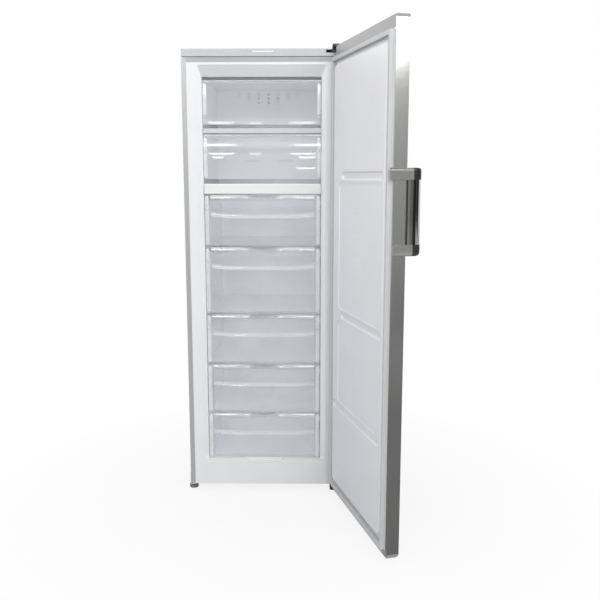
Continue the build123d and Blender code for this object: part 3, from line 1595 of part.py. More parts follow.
def make_handle_bar():
    """Chromed bar of hooked section between the two brackets."""
    side = handle_side + bar_inset
    nose = handle_nose + bar_inset
    start = door_face - bar_gap
    with BuildPart() as bar:
        with BuildSketch(level(DOOR, handle_lower + bracket_height)):
            with BuildLine():
                FilletPolyline(
                    (side, start),
                    (side, nose),
                    (side + bar_hook, nose),
                    radius=bar_round,
                )
                Line((side + bar_hook, nose), (side + bar_hook, nose + bar_wall))
                FilletPolyline(
                    (side + bar_hook, nose + bar_wall),
                    (side + bar_wall, nose + bar_wall),
                    (side + bar_wall, start),
                    radius=bar_round - bar_wall,
                )
                Line((side + bar_wall, start), (side, start))
            make_face()
        extrude(amount=handle_upper - handle_lower - 2 * bracket_height)
    keep(bar, "handle_bar")


def make_handle_screw():
    """Screw through the lower bracket into the door's edge."""
    with BuildPart() as screw:
        bore(flank(DOOR, handle_side), [(handle_screw_y, handle_screw_z)], screw_shank,
             bracket_thickness + screw_grip, mode=Mode.ADD)
        bore(flank(DOOR, handle_side - 1.2), [(handle_screw_y, handle_screw_z)], handle_screw_head, 1.2,
             mode=Mode.ADD)
    keep(screw, "handle_screw")


# ================================================================ build
make_side_panel(-1, "side_panel_left")
make_side_panel(1, "side_panel_right")
make_back_panel()
make_base_plate()
make_front_rail()
make_top_cover()
make_liner()
make_insulation()
make_corner_cap()
make_foot(-1, "foot_left")
make_foot(1, "foot_right")
make_compressor_tray()
make_roller(-1, "roller_left")
make_roller(1, "roller_right")
make_shelf(shelf_1_top, shelf_1_front, 0, 1)
make_shelf(shelf_2_top, shelf_2_front, shelf_2_forward, 2)
for index, (bottom, top) in enumerate(zip(drawer_bottoms, drawer_tops)):
    lowest = index == len(drawer_tops) - 1
    make_drawer(index + 1, bottom, top, low_tub_back if lowest else tub_back)
make_flap(1, flap_1_axis, flap_1_bottom, True)
make_flap(2, flap_2_axis, flap_2_bottom, False)
make_duct_cover()
make_fan()
make_evaporator()
make_drain()
make_compressor()
make_bowl()
make_refrigerant_lines()
make_condenser()
make_control_box()
make_top_hinge()
make_bottom_hinge()
make_hinge_screws()
make_door_skin()
make_door_cap(True)
make_door_cap(False)
make_hinge_bushes()
make_door_liner()
make_door_insulation()
make_gasket()
make_bracket(False)
make_bracket(True)
make_handle_bar()
make_handle_screw()
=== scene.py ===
import json
import math

import bmesh
import bpy
from mathutils import Matrix, Vector


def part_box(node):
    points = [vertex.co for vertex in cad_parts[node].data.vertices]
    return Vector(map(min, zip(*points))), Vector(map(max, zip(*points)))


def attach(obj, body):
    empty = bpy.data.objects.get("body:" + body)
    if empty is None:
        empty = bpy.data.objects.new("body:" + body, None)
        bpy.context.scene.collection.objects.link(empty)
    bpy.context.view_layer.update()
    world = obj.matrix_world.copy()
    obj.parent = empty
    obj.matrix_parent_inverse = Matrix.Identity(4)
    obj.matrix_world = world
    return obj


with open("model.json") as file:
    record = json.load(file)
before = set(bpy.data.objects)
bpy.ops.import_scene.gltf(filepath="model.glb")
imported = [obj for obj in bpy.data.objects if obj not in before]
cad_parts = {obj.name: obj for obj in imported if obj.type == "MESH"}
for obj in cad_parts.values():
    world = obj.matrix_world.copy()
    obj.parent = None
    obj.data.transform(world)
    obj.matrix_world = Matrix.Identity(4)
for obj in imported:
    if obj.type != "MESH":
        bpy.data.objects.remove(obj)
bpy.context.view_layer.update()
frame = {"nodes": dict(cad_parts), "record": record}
nodes = frame["nodes"]

# ------------------------------------------------------------------ shared places
# Small pieces are drawn in millimetres of the cabinet's own frame, whose zero is the middle of
# its front plane on the floor. Pieces of the door are drawn there as if it were shut.
SHIFT = Vector((-0.103739, 0.009857, 0.0))  # from the cabinet's frame to the row frame, metres
AXIS = Vector((0.28774, -0.0329, 0.0))      # the door's hinge line in the cabinet's frame, metres
OPEN = math.radians(105.74)                 # how far the door stands open at rest
DOOR = (Matrix.Translation(SHIFT + AXIS) @ Matrix.Rotation(OPEN, 4, "Z")
        @ Matrix.Translation(-AXIS))
CABINET_HEIGHT = 1.715                      # metres
WHITE = (1.0, 1.0, 1.0)


def cab(x, y, z):
    """Cabinet-frame millimetres to the row frame."""
    return Vector((x / 1000, y / 1000, z / 1000)) + SHIFT


def on_door(x, y, z):
    """Shut-door millimetres of the cabinet frame to the open door of the row frame."""
    return DOOR @ Vector((x / 1000, y / 1000, z / 1000))


def span(node):
    """A cabinet node's box at rest, lows and highs in cabinet-frame millimetres."""
    low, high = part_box(node)
    return (low - SHIFT) * 1000, (high - SHIFT) * 1000


def put_in_scene(name, data):
    made = bpy.data.objects.new(name, data)
    bpy.context.scene.collection.objects.link(made)
    return made


# ------------------------------------------------------------------ camera
PICTURE_PIXELS = 600
FOCAL_PIXELS = 751.8
SENSOR_WIDTH = 36.0
CAMERA_PLACE = (180.24, -2875.24, 1249.07)
CAMERA_PITCH = 9.31  # degrees down
CAMERA_YAW = 0.75    # degrees to the left

camera_data = bpy.data.cameras.new("camera")
camera_data.sensor_width = SENSOR_WIDTH
camera_data.lens = FOCAL_PIXELS / PICTURE_PIXELS * SENSOR_WIDTH
camera_data.clip_end = 60
camera = put_in_scene("camera", camera_data)
camera.location = cab(*CAMERA_PLACE)
camera.rotation_euler = (math.radians(90 - CAMERA_PITCH), 0, math.radians(CAMERA_YAW))
bpy.context.scene.camera = camera
bpy.context.scene.view_settings.view_transform = "Standard"
bpy.context.scene.cycles.transparent_max_bounces = 32  # light crosses many clear walls here


# ------------------------------------------------------------------ node helpers
def grey(level):
    return (level, level, level)


def grey_stops(levels):
    """Colour stops from pairs of a place and a grey level."""
    return [(place, grey(level)) for place, level in levels]


def tone(colour, spread):
    """Two neighbours of a colour, darker and lighter."""
    low = tuple(max(0.0, channel * (1 - spread)) for channel in colour)
    high = tuple(min(1.0, channel * (1 + spread)) for channel in colour)
    return low, high


class Nodes:
    """Short calls for one node tree."""

    def __init__(self, tree):
        self.tree = tree

    def node(self, kind, **values):
        made = self.tree.nodes.new(kind)
        for key, value in values.items():
            setattr(made, key, value)
        return made

    def link(self, source, target):
        self.tree.links.new(source, target)

    def calc(self, operation, *sources):
        """Math node whose inputs are plain numbers or other nodes' outputs."""
        made = self.node("ShaderNodeMath", operation=operation)
        for target, source in zip(made.inputs, sources):
            if isinstance(source, float):
                target.default_value = source
            else:
                self.link(source, target)
        return made.outputs[0]

    def ray(self, kind):
        """1 for rays of one kind, such as Camera, and 0 for the others."""
        return self.node("ShaderNodeLightPath").outputs[f"Is {kind} Ray"]

    def parts(self, kind):
        """X, Y and Z of the Object, Normal or Generated coordinates."""
        source = self.node("ShaderNodeTexCoord")
        split = self.node("ShaderNodeSeparateXYZ")
        self.link(source.outputs[kind], split.inputs["Vector"])
        return split.outputs

    def ramp(self, source, stops):
        made = self.node("ShaderNodeValToRGB")
        elements = made.color_ramp.elements
        while len(elements) < len(stops):
            elements.new(0.5)
        for element, (place, colour) in zip(elements, stops):
            element.position = place
            element.color = (*colour, 1.0)
        self.link(source, made.inputs["Fac"])
        return made.outputs["Color"]

    def to_range(self, source, low, high, from_low=0.0, from_high=1.0):
        made = self.node("ShaderNodeMapRange")
        made.inputs["From Min"].default_value = from_low
        made.inputs["From Max"].default_value = from_high
        made.inputs["To Min"].default_value = low
        made.inputs["To Max"].default_value = high
        self.link(source, made.inputs["Value"])
        return made.outputs["Result"]

    def multiply(self, first, second):
        """Product of two colours."""
        made = self.node("ShaderNodeMix", data_type="RGBA", blend_type="MULTIPLY")
        made.inputs["Factor"].default_value = 1.0
        self.link(first, made.inputs[6])
        self.link(second, made.inputs[7])
        return made.outputs[2]

    def mix_shaders(self, share, first, second):
        made = self.node("ShaderNodeMixShader")
        for target, source in zip(made.inputs, (share, first, second)):
            self.link(source, target)
        return made.outputs[0]


class Shader(Nodes):
    """One material, round its Principled node."""

    def __init__(self, name):
        self.material = bpy.data.materials.new(name)
        self.material.use_nodes = True
        super().__init__(self.material.node_tree)
        self.bsdf = self.tree.nodes["Principled BSDF"]
        self.out = self.tree.nodes["Material Output"]

    def set(self, **values):
        """Plain numbers on the Principled node's own sockets."""
        for key, value in values.items():
            self.bsdf.inputs[key.replace("_", " ")].default_value = value

    def drive(self, **sources):
        """Principled sockets that follow other nodes."""
        for key, source in sources.items():
            self.link(source, self.bsdf.inputs[key.replace("_", " ")])

    def coords(self, scale=(1, 1, 1)):
        """Object coordinates in metres, stretched."""
        source = self.node("ShaderNodeTexCoord")
        mapping = self.node("ShaderNodeMapping")
        mapping.inputs["Scale"].default_value = scale
        self.link(source.outputs["Object"], mapping.inputs["Vector"])
        return mapping.outputs["Vector"]

    def noise(self, scale, detail=3.0, rough=0.5, stretch=(1, 1, 1)):
        made = self.node("ShaderNodeTexNoise")
        made.inputs["Scale"].default_value = scale
        made.inputs["Detail"].default_value = detail
        made.inputs["Roughness"].default_value = rough
        self.link(self.coords(stretch), made.inputs["Vector"])
        return made.outputs["Fac"]

    def mottle(self, source, low, high):
        """Colour that wanders between two tones along a noise."""
        return self.ramp(source, [(0.3, low), (0.7, high)])

    def bump(self, source, strength, distance):
        made = self.node("ShaderNodeBump")
        made.inputs["Strength"].default_value = strength
        made.inputs["Distance"].default_value = distance
        self.link(source, made.inputs["Height"])
        self.drive(Normal=made.outputs["Normal"])

    def height(self):
        """Height above the floor, 0 to 1 over the freezer."""
        return self.to_range(self.parts("Object")["Z"], 0.0, 1.0, from_high=CABINET_HEIGHT)

    def door_depth(self, first, last):
        """0 to 1 between two distances, in metres, forward of the cabinet with the door shut."""
        out = Vector((math.sin(OPEN), -math.cos(OPEN), 0.0))
        start = (SHIFT + AXIS).dot(out) + AXIS.y
        source = self.node("ShaderNodeTexCoord")
        along = self.node("ShaderNodeVectorMath", operation="DOT_PRODUCT")
        along.inputs[1].default_value = out
        self.link(source.outputs["Object"], along.inputs[0])
        return self.to_range(along.outputs["Value"], 0.0, 1.0, start + first, start + last)

    def facing(self, blend):
        """0 face on, 1 at a grazing angle."""
        made = self.node("ShaderNodeLayerWeight")
        made.inputs["Blend"].default_value = blend
        return made.outputs["Facing"]


# ------------------------------------------------------------------ opaque materials
NOSE_START = 0.0765  # where the painted reflection on the handle's brackets turns dark, metres forward of the cabinet
NOSE_BLUR = 0.003
NOSE_HIGHLIGHT = 1.35     # how much lighter the painted highlight line before it is
BAR_DEPTH = (0.0595, 0.0925)  # metres forward of the cabinet over which the bar's painted reflection runs
# Painted reflection on the chrome bar: grey, olive, near-black and bright stripes across its depth
BAR_PAINTED_REFLECTION = [(0.0, (0.56, 0.56, 0.57)), (0.20, (0.50, 0.50, 0.51)), (0.26, (0.36, 0.36, 0.31)),
             (0.50, (0.33, 0.33, 0.28)), (0.56, grey(0.05)), (0.80, grey(0.05)),
             (0.86, grey(0.80)), (1.0, grey(0.85))]
# Painted reflection on the door's steel: darker towards the bottom, for the darker room it mirrors low
# down
DOOR_PAINTED_REFLECTION = [(0.0, 0.27), (0.3, 0.27), (0.48, 0.45), (0.68, 0.85), (0.86, 1.0)]
LOOKS_DOWN = (-0.14, -0.04)   # upward part of the normal, from fully to no longer looking down, over which the liners' painted shade fades out


def plastic(name, colour, rough):
    """Moulded plastic: faint clouds of tone, and a fine grain in gloss and relief."""
    made = Shader(name)
    clouds = made.noise(9.0, detail=4.0, rough=0.55)
    grain = made.noise(900.0, detail=2.0, rough=0.6)
    made.drive(Base_Color=made.mottle(clouds, *tone(colour, 0.03)),
               Roughness=made.to_range(grain, rough - 0.05, rough + 0.06))
    made.set(Specular_IOR_Level=0.5)
    made.bump(grain, strength=0.05, distance=0.0004)
    return made.material


def add_peel(made, metallic, smooth, dull):
    """Fine ripple of sprayed paint, in gloss and relief."""
    peel = made.noise(420.0, detail=2.0)
    made.drive(Roughness=made.to_range(peel, smooth, dull))
    made.set(Metallic=metallic)
    made.bump(peel, strength=0.06, distance=0.0003)


def paint(name, colour, rough, metallic=0.0, spread=0.025):
    """Sprayed paint with faint clouds of tone."""
    made = Shader(name)
    made.drive(Base_Color=made.mottle(made.noise(6.0), *tone(colour, spread)))
    add_peel(made, metallic, rough - 0.04, rough + 0.05)
    return made.material


def bracket_reflection_paint(name, side, dark_reflection):
    """Satin metal paint with a painted reflection: past a painted highlight line it turns dark towards
    the handle's rounded front.
    """
    made = Shader(name)
    line = tuple(NOSE_HIGHLIGHT * channel for channel in side)
    share = made.door_depth(NOSE_START - NOSE_BLUR, NOSE_START + NOSE_BLUR)
    # painted reflection: side tone, then a painted highlight line, then the dark nose
    step = made.ramp(share, [(0.0, side), (0.35, side), (0.5, line), (0.7, dark_reflection)])
    clouds = made.mottle(made.noise(6.0), *tone(WHITE, 0.04))
    made.drive(Base_Color=made.multiply(step, clouds))
    add_peel(made, 0.75, 0.2, 0.28)
    return made.material


def chrome(name):
    """Polished bar with a little haze and, across its depth, painted reflection stripes."""
    made = Shader(name)
    haze = made.noise(30.0)
    # painted reflection in the base colour, across the bar's depth
    bar_reflection = made.ramp(made.door_depth(*BAR_DEPTH), BAR_PAINTED_REFLECTION)
    made.drive(Base_Color=made.multiply(bar_reflection, made.mottle(haze, grey(0.93), WHITE)),
               Roughness=made.to_range(haze, 0.05, 0.11))
    made.set(Metallic=1.0)
    made.bump(haze, strength=0.02, distance=0.0003)
    return made.material


def brushed(name, colour, rough=0.32, metallic=0.85, stretch=(1.0, 1.0, 140.0), spread=0.05,
            reflection_by_height=None):
    """Brushed metal, its fine lines square to the most stretched axis; a painted reflection can darken
    it towards the bottom.
    """
    made = Shader(name)
    lines = made.noise(22.0, detail=5.0, rough=0.7, stretch=stretch)
    streaks = made.calc("MULTIPLY_ADD", lines, 0.6, made.to_range(made.noise(3.0), 0.0, 0.4))
    colours = made.mottle(streaks, *tone(colour, spread))
    if reflection_by_height:
        # painted reflection: the ramp darkens the colour towards the bottom
        colours = made.multiply(colours, made.ramp(made.height(), grey_stops(reflection_by_height)))
    made.drive(Base_Color=colours, Roughness=made.to_range(lines, rough - 0.05, rough + 0.07))
    made.set(Metallic=metallic)
    made.bump(lines, strength=0.05, distance=0.0003)
    return made.material


def foam(name, colour):
    """Matt foam with small cells."""
    made = Shader(name)
    cells = made.node("ShaderNodeTexVoronoi")
    cells.inputs["Scale"].default_value = 320.0
    made.link(made.coords(), cells.inputs["Vector"])
    low, high = tone(colour, 0.12)
    made.drive(Base_Color=made.ramp(cells.outputs["Distance"], [(0.1, low), (0.7, high)]))
    made.set(Roughness=0.9)
    made.bump(cells.outputs["Distance"], strength=0.4, distance=0.001)
    return made.material


def liner_sheet(name, top, low, down_face_shade=0.83, shine=0.4):
    """White moulded sheet with painted shade: its tone changes with height, and faces that look down
    are painted darker.
    """
    made = Shader(name)
    # painted shade: the tone is set by height, between the low and the top colour
    shade = made.ramp(made.height(), [(0.05, low), (0.75, top)])
    clouded = made.multiply(shade, made.mottle(made.noise(5.0), grey(0.97), WHITE))
    under = made.to_range(made.parts("Normal")["Z"], 0.0, 1.0, *LOOKS_DOWN)
    # painted shade: faces that look down are darkened
    painted_shade_colour = made.multiply(clouded, made.ramp(under, [(0.0, grey(down_face_shade)), (1.0, WHITE)]))
    fine = made.noise(260.0, detail=2.0)
    made.drive(Base_Color=painted_shade_colour, Roughness=made.to_range(fine, 0.36, 0.46))
    made.set(Specular_IOR_Level=shine)
    made.bump(fine, strength=0.03, distance=0.0003)
    return made.material


# ------------------------------------------------------------------ clear materials
LIGHT_PASSING = 0.85  # share of a clear wall's opacity that shadows and bounced light don't meet
FACING_GLOSS = 0.08   # mirror share of a clear wall, face on
GRAZING_GLOSS = 0.9


def add_gloss(made, rough):
    """Mirror gloss over the whole shader, so that a see-through wall still shines."""
    share = made.to_range(made.calc("POWER", made.facing(0.5), 5.0), FACING_GLOSS, GRAZING_GLOSS)
    behind = made.node("ShaderNodeNewGeometry").outputs["Backfacing"]
    hidden = made.calc("MAXIMUM", behind, made.ray("Shadow"))
    shine = made.node("ShaderNodeBsdfAnisotropic")
    shine.inputs["Roughness"].default_value = rough
    mixed = made.mix_shaders(made.calc("MULTIPLY", share, made.to_range(hidden, 1.0, 0.0)),
                             made.bsdf.outputs[0], shine.outputs[0])
    made.link(mixed, made.out.inputs["Surface"])


def clear_opacity(made, clouds, face, edge, cloud, level_mist):
    """Opacity that grows towards grazing angles, with clouds, and with mist on level faces."""
    misty = made.calc("ADD", made.to_range(made.facing(0.35), face, edge),
                      made.to_range(clouds, -cloud, cloud))
    if level_mist:
        level = made.calc("POWER", made.parts("Normal")["Z"], 4.0)
        misty = made.calc("MULTIPLY_ADD", level, level_mist, misty)
    passing = made.calc("MAXIMUM", made.ray("Shadow"), made.ray("Diffuse"))
    return made.calc("MULTIPLY", misty, made.to_range(passing, 1.0, 1.0 - LIGHT_PASSING))


def clear(name, tint, face, edge, rough, cloud=0.04, level_mist=0.0):
    """Clear moulded plastic: see-through face on, milky and bright at grazing angles."""
    made = Shader(name)
    clouds = made.noise(14.0)
    fine = made.noise(60.0, rough=0.6)
    made.drive(Base_Color=made.mottle(clouds, *tone(tint, 0.03)),
               Alpha=clear_opacity(made, clouds, face, edge, cloud, level_mist),
               Roughness=made.to_range(fine, max(0.02, rough - 0.04), rough + 0.05))
    made.set(Specular_IOR_Level=0.9, IOR=1.5)
    made.bump(fine, strength=0.04, distance=0.002)
    add_gloss(made, rough)
    return made.material


# ------------------------------------------------------------------ material table
MATERIALS = {
    "side_steel": paint("side_steel", (0.42, 0.425, 0.43), 0.38, 0.25),
    "galvanised": brushed("galvanised", (0.55, 0.56, 0.57), 0.42, 0.8, (8.0, 8.0, 8.0), 0.12),
    "top_plastic": plastic("top_plastic", (0.50, 0.505, 0.51), 0.45),
    "white_liner": liner_sheet("white_liner", (0.78, 0.785, 0.80), (0.79, 0.795, 0.81), 0.76, 0.25),
    "foam": foam("foam", (0.86, 0.78, 0.55)),
    "clear_plastic": clear("clear_plastic", (0.86, 0.865, 0.92), 0.11, 0.8, 0.08, 0.03),
    "tub_plastic": clear("tub_plastic", (0.84, 0.85, 0.90), 0.12, 0.6, 0.2, 0.05, 0.55),
    "shelf_glass": clear("shelf_glass", (0.76, 0.84, 0.83), 0.08, 0.8, 0.05),
    "shelf_trim": plastic("shelf_trim", (0.58, 0.585, 0.62), 0.3),
    "dark_plastic": plastic("dark_plastic", (0.025, 0.025, 0.028), 0.5),
    "foot_plastic": plastic("foot_plastic", grey(0.17), 0.5),
    "motor_steel": brushed("motor_steel", (0.5, 0.5, 0.51), 0.35),
    "aluminium": brushed("aluminium", (0.7, 0.71, 0.72), 0.35, 0.95),
    "heater_steel": brushed("heater_steel", (0.48, 0.48, 0.49), 0.3),
    "drain_plastic": plastic("drain_plastic", (0.6, 0.61, 0.64), 0.45),
    "black_steel": paint("black_steel", (0.018, 0.018, 0.02), 0.38, 0.0, 0.1),
    "copper": brushed("copper", (0.72, 0.36, 0.22), 0.3, 0.95, (20.0, 20.0, 20.0)),
    "mount_rubber": plastic("mount_rubber", grey(0.02), 0.75),
    # door steel with a painted reflection, darker towards the bottom
    "door_steel": brushed("door_steel", (0.70, 0.70, 0.69), 0.14, 0.92, (1.0, 1.0, 90.0), 0.04,
                          DOOR_PAINTED_REFLECTION),
    "door_cap": plastic("door_cap", (0.30, 0.305, 0.30), 0.42),
    # door liner with painted shade, lighter at the top than low down
    "door_liner_white": liner_sheet("door_liner_white", (0.90, 0.903, 0.92), (0.77, 0.775, 0.80)),
    "gasket_grey": plastic("gasket_grey", (0.60, 0.605, 0.61), 0.55),
    "handle_grey": paint("handle_grey", (0.26, 0.26, 0.255), 0.22, 0.75),
    "handle_chrome": chrome("handle_chrome"),
    # finer finishes, for nodes and pieces that look a little unlike the rest of their slot
    "flap_plastic": clear("flap_plastic", (0.88, 0.885, 0.93), 0.2, 0.85, 0.08, 0.03),
    # milkier, more opaque clear plastic for the beads and ledges: partly a real frosted edge and partly
    # a painted highlight, so they read as bright streaks
    "bead_highlight_plastic": clear("bead_highlight_plastic", (0.90, 0.905, 0.94), 0.4, 0.9, 0.08, 0.03),
    "duct_white": liner_sheet("duct_white", (0.90, 0.90, 0.94), (0.88, 0.88, 0.92)),
    "rail_paint": paint("rail_paint", (0.34, 0.345, 0.35), 0.42, 0.2),
    "hinge_paint": paint("hinge_paint", (0.055, 0.055, 0.058), 0.45, 0.0, 0.1),
    # bracket paint with a painted reflection and a painted highlight line
    "bracket_grey": bracket_reflection_paint("bracket_grey", (0.42, 0.42, 0.41), (0.07, 0.07, 0.068)),
}
FINER = {"air_duct_cover": "duct_white", "flap_1": "flap_plastic", "flap_2": "flap_plastic",
         "front_rail": "rail_paint", "top_hinge": "hinge_paint",
         "handle_bracket_upper": "bracket_grey", "handle_bracket_lower": "bracket_grey"}

for part in frame["record"]["subparts"]:
    slots = nodes[part["node"]].data.materials
    slots.clear()
    slots.append(MATERIALS[FINER.get(part["node"], part["material_slot"])])


# ------------------------------------------------------------------ mesh helpers
def finish_piece(name, mesh, slot, body, place=cab, sharp=40, finish=None):
    """Makes the bmesh, drawn in millimetres, a piece that rides on its body."""
    bmesh.ops.recalc_face_normals(mesh, faces=mesh.faces)
    for vert in mesh.verts:
        vert.co = place(*vert.co)
    data = bpy.data.meshes.new(name)
    mesh.to_mesh(data)
    mesh.free()
    for face in data.polygons:
        face.use_smooth = True
    data.set_sharp_from_angle(angle=math.radians(sharp))
    data.materials.append(MATERIALS[finish or slot])
    made = put_in_scene(name, data)
    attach(made, body)


def add_loft(mesh, rings):
    """Skin through closed rings with equally many points, capped at both ends."""
    loops = [[mesh.verts.new(point) for point in ring] for ring in rings]
    for first, second in zip(loops, loops[1:]):
        for i in range(len(first)):
            j = (i + 1) % len(first)
            mesh.faces.new((first[i], first[j], second[j], second[i]))
    mesh.faces.new(loops[0])
    mesh.faces.new(list(reversed(loops[-1])))


def add_dome(mesh, centre, radius, height, forward=-1, rings=4, sides=14):
    """Low round dome on a face that looks along -Y, or +Y where forward is 1."""
    x, y, z = centre
    turns = [2 * math.pi * side / sides for side in range(sides)]
    layers = []
    for ring in range(rings):
        angle = math.radians(90) * ring / rings
        reach = radius * math.cos(angle)
        rise = y + forward * height * math.sin(angle)
        layers.append([(x + reach * math.cos(turn), rise, z + reach * math.sin(turn))
                       for turn in turns])
    add_loft(mesh, layers)


def section(x, face, top, profile):
    """Ring at one x through a profile: points forward of a face and down from a level."""
    return [(x, face - forward, top - down) for forward, down in profile]


def curl(height, top_lean, foot_lean, steps=7):
    """Profile of a curved strip that leans forward by these degrees at its two edges."""
    points = [(0.0, 0.0)]
    run = height / steps
    for step in range(steps):
        lean = math.radians(top_lean + (foot_lean - top_lean) * step / (steps - 1))
        forward, down = points[-1]
        points.append((forward + run * math.tan(lean), down + run))
    return points


# ------------------------------------------------------------------ drawer fronts and flaps
FRONT_PLANE = 4.0
LIP_PLANE = FRONT_PLANE - 0.2
EDGE_PLANE = FRONT_PLANE + 1.8
BEAD_PLANE = FRONT_PLANE + 0.3
FLAP_PLANE = FRONT_PLANE + 1.8
LEDGE_PLANE = FRONT_PLANE + 1.3

UPRIGHT_WIDTH = 22.0
UPRIGHT_GAP = 1.0      # between an upright and what ends at it
BAND_HEIGHT = 82.0     # of the grip band, from the top of a drawer front
SCOOP_HALF = 56.0      # half of the finger scoop in the band's upper edge

LIP_RAISE = 10.0       # from the band's lower edge to the lip's top
LIP_SWEEP = 7.0        # how much higher the lip's ends are
LIP_BACK = [(1.6, 16.2), (-0.5, 15.0), (-0.5, 1.0)]
LIP_STEPS = 32
EDGE_DEPTH = 12.0
EDGE_DROP = 1.0        # under the drawer front's top
EDGE_FADE = 5.0        # what the edge loses in depth and level beside the scoop
EDGE_STEPS = 16

BEAD_HALF = 7.0
BEAD_PROUD = 2.2
BEAD_END = 9.0         # height of a bead's rounded end
BEAD_INSET = 8.5       # from the front's or flap's side
CLIP_RADIUS = 4.6
CLIP_PROUD = 1.9
CLIP_DROP = 52.0       # under the drawer front's top

LEDGE_HEIGHT = 9.0
LEDGE_STEPS = 12
LEDGE_INSET = 20.0     # from the flap's side
LEDGES = [(-1.0, -0.5), (-0.24, 0.0), (0.5, 1.0)]  # in shares of the half width
# Name, drop under the flap's top, ledges.
LOWER_LEDGES = (("flap_2_lip", 68.0, LEDGES),
                ("flap_2_ledge", 82.0, [(-0.93, -0.7), (0.66, 1.0)]),
                ("flap_2_low_ledge", 122.0, [(0.62, 1.0)]))


def front_room(number):
    """Half of the room between a drawer front's uprights, and the front's top."""
    low, high = span(f"drawer_{number}_front")
    return (high.x - low.x) / 2 - UPRIGHT_WIDTH - UPRIGHT_GAP, high.z


def make_drawer_lip(number):
    """Flared pull lip under the grip band; its ends sweep up to the uprights."""
    half, front_top = front_room(number)
    profile = curl(15.0, top_lean=3.0, foot_lean=28.0) + LIP_BACK
    rings = []
    for step in range(LIP_STEPS + 1):
        x = -half + 2 * half * step / LIP_STEPS
        sweep = LIP_SWEEP * max(0.0, 2 * abs(x) / half - 1.0) ** 2
        rings.append(section(x, LIP_PLANE, front_top - BAND_HEIGHT + LIP_RAISE + sweep, profile))
    mesh = bmesh.new()
    add_loft(mesh, rings)
    finish_piece(f"drawer_{number}_lip", mesh, "clear_plastic", f"drawer_{number}",
                 finish="flap_plastic")


def make_drawer_edge(number):
    """Rolled upper edge of the grip band, left and right of the finger scoop."""
    half, front_top = front_room(number)
    mesh = bmesh.new()
    for hand in (-1, 1):
        rings = []
        for step in range(EDGE_STEPS + 1):
            share = step / EDGE_STEPS
            fade = EDGE_FADE * (1 - min(1.0, share * 3)) ** 2
            deep = EDGE_DEPTH - fade
            profile = curl(deep, top_lean=34.0, foot_lean=8.0) + [(1.2, deep + 0.4), (-0.6, 0.8)]
            x = hand * (SCOOP_HALF + (half - SCOOP_HALF) * share)
            rings.append(section(x, EDGE_PLANE, front_top - EDGE_DROP - fade, profile))
        add_loft(mesh, rings)
    finish_piece(f"drawer_{number}_edge", mesh, "clear_plastic", f"drawer_{number}",
                 finish="flap_plastic")


def add_bead(mesh, x, face, bottom, top):
    """Upright half-round bead with rounded ends on the plane y = face."""
    turns = [math.pi * step / 8 for step in range(9)]
    ends = [(0.0, 0.25), (BEAD_END * 0.3, 0.72), (BEAD_END, 1.0)]
    levels = [(bottom + rise, scale) for rise, scale in ends]
    levels += [(top - rise, scale) for rise, scale in reversed(ends)]
    add_loft(mesh, [[(x + BEAD_HALF * scale * math.cos(turn),
                      face - BEAD_PROUD * scale * math.sin(turn), z) for turn in turns]
                    for z, scale in levels])


def make_uprights(name, body, face, bottom, top, half, clip_level):
    """A bead and a round clip at both ends of a drawer front or flap."""
    beads = bmesh.new()
    clips = bmesh.new()
    for x in (BEAD_INSET - half, half - BEAD_INSET):
        add_bead(beads, x, face, bottom, top)
        add_dome(clips, (x, face - BEAD_PROUD * 0.7, clip_level), CLIP_RADIUS, CLIP_PROUD)
    finish_piece(name + "_beads", beads, "clear_plastic", body, sharp=60, finish="bead_highlight_plastic")
    finish_piece(name + "_clips", clips, "shelf_trim", body, sharp=60)


def make_drawer_details(number):
    """Lip, rolled edge, beads and clips of one drawer front."""
    make_drawer_lip(number)
    make_drawer_edge(number)
    low, high = span(f"drawer_{number}_front")
    make_uprights(f"drawer_{number}", f"drawer_{number}", BEAD_PLANE, bottom=low.z + 5,
                  top=high.z - 5, half=(high.x - low.x) / 2, clip_level=high.z - CLIP_DROP)


def make_flap_ledge(name, body, level, half, ledges):
    """Short curved ledges along a flap, each between two shares of its half width."""
    mesh = bmesh.new()
    for first, last in ledges:
        rings = []
        for step in range(LEDGE_STEPS + 1):
            share = step / LEDGE_STEPS
            tall = LEDGE_HEIGHT * (0.25 + 0.75 * min(1.0, 6 * share, 6 * (1 - share)) ** 0.5)
            profile = curl(tall, top_lean=4.0, foot_lean=20.0) + [(-0.3, tall + 0.6), (-0.5, 0.4)]
            x = half * (first + (last - first) * share)
            rings.append(section(x, LEDGE_PLANE, level, profile))
        add_loft(mesh, rings)
    finish_piece(name, mesh, "clear_plastic", body, finish="bead_highlight_plastic")


def make_flap_details():
    """Beads, clips and ledges of both flaps, measured across on the upper one."""
    low, high = span("flap_1")
    lower_low, lower_high = span("flap_2")
    half = (high.x - low.x) / 2
    make_uprights("flap_1", "upper_flap", FLAP_PLANE, bottom=low.z + 27, top=high.z - 13,
                  half=half - 2.0, clip_level=low.z + 38)
    make_uprights("flap_2", "lower_flap", FLAP_PLANE, bottom=lower_low.z + 5,
                  top=lower_high.z - 13, half=half - 2.0, clip_level=lower_high.z - 62)
    make_flap_ledge("flap_1_lip", "upper_flap", low.z + 12, half - LEDGE_INSET, LEDGES)
    for name, drop, ledges in LOWER_LEDGES:
        make_flap_ledge(name, "lower_flap", lower_high.z - drop, half - LEDGE_INSET, ledges)


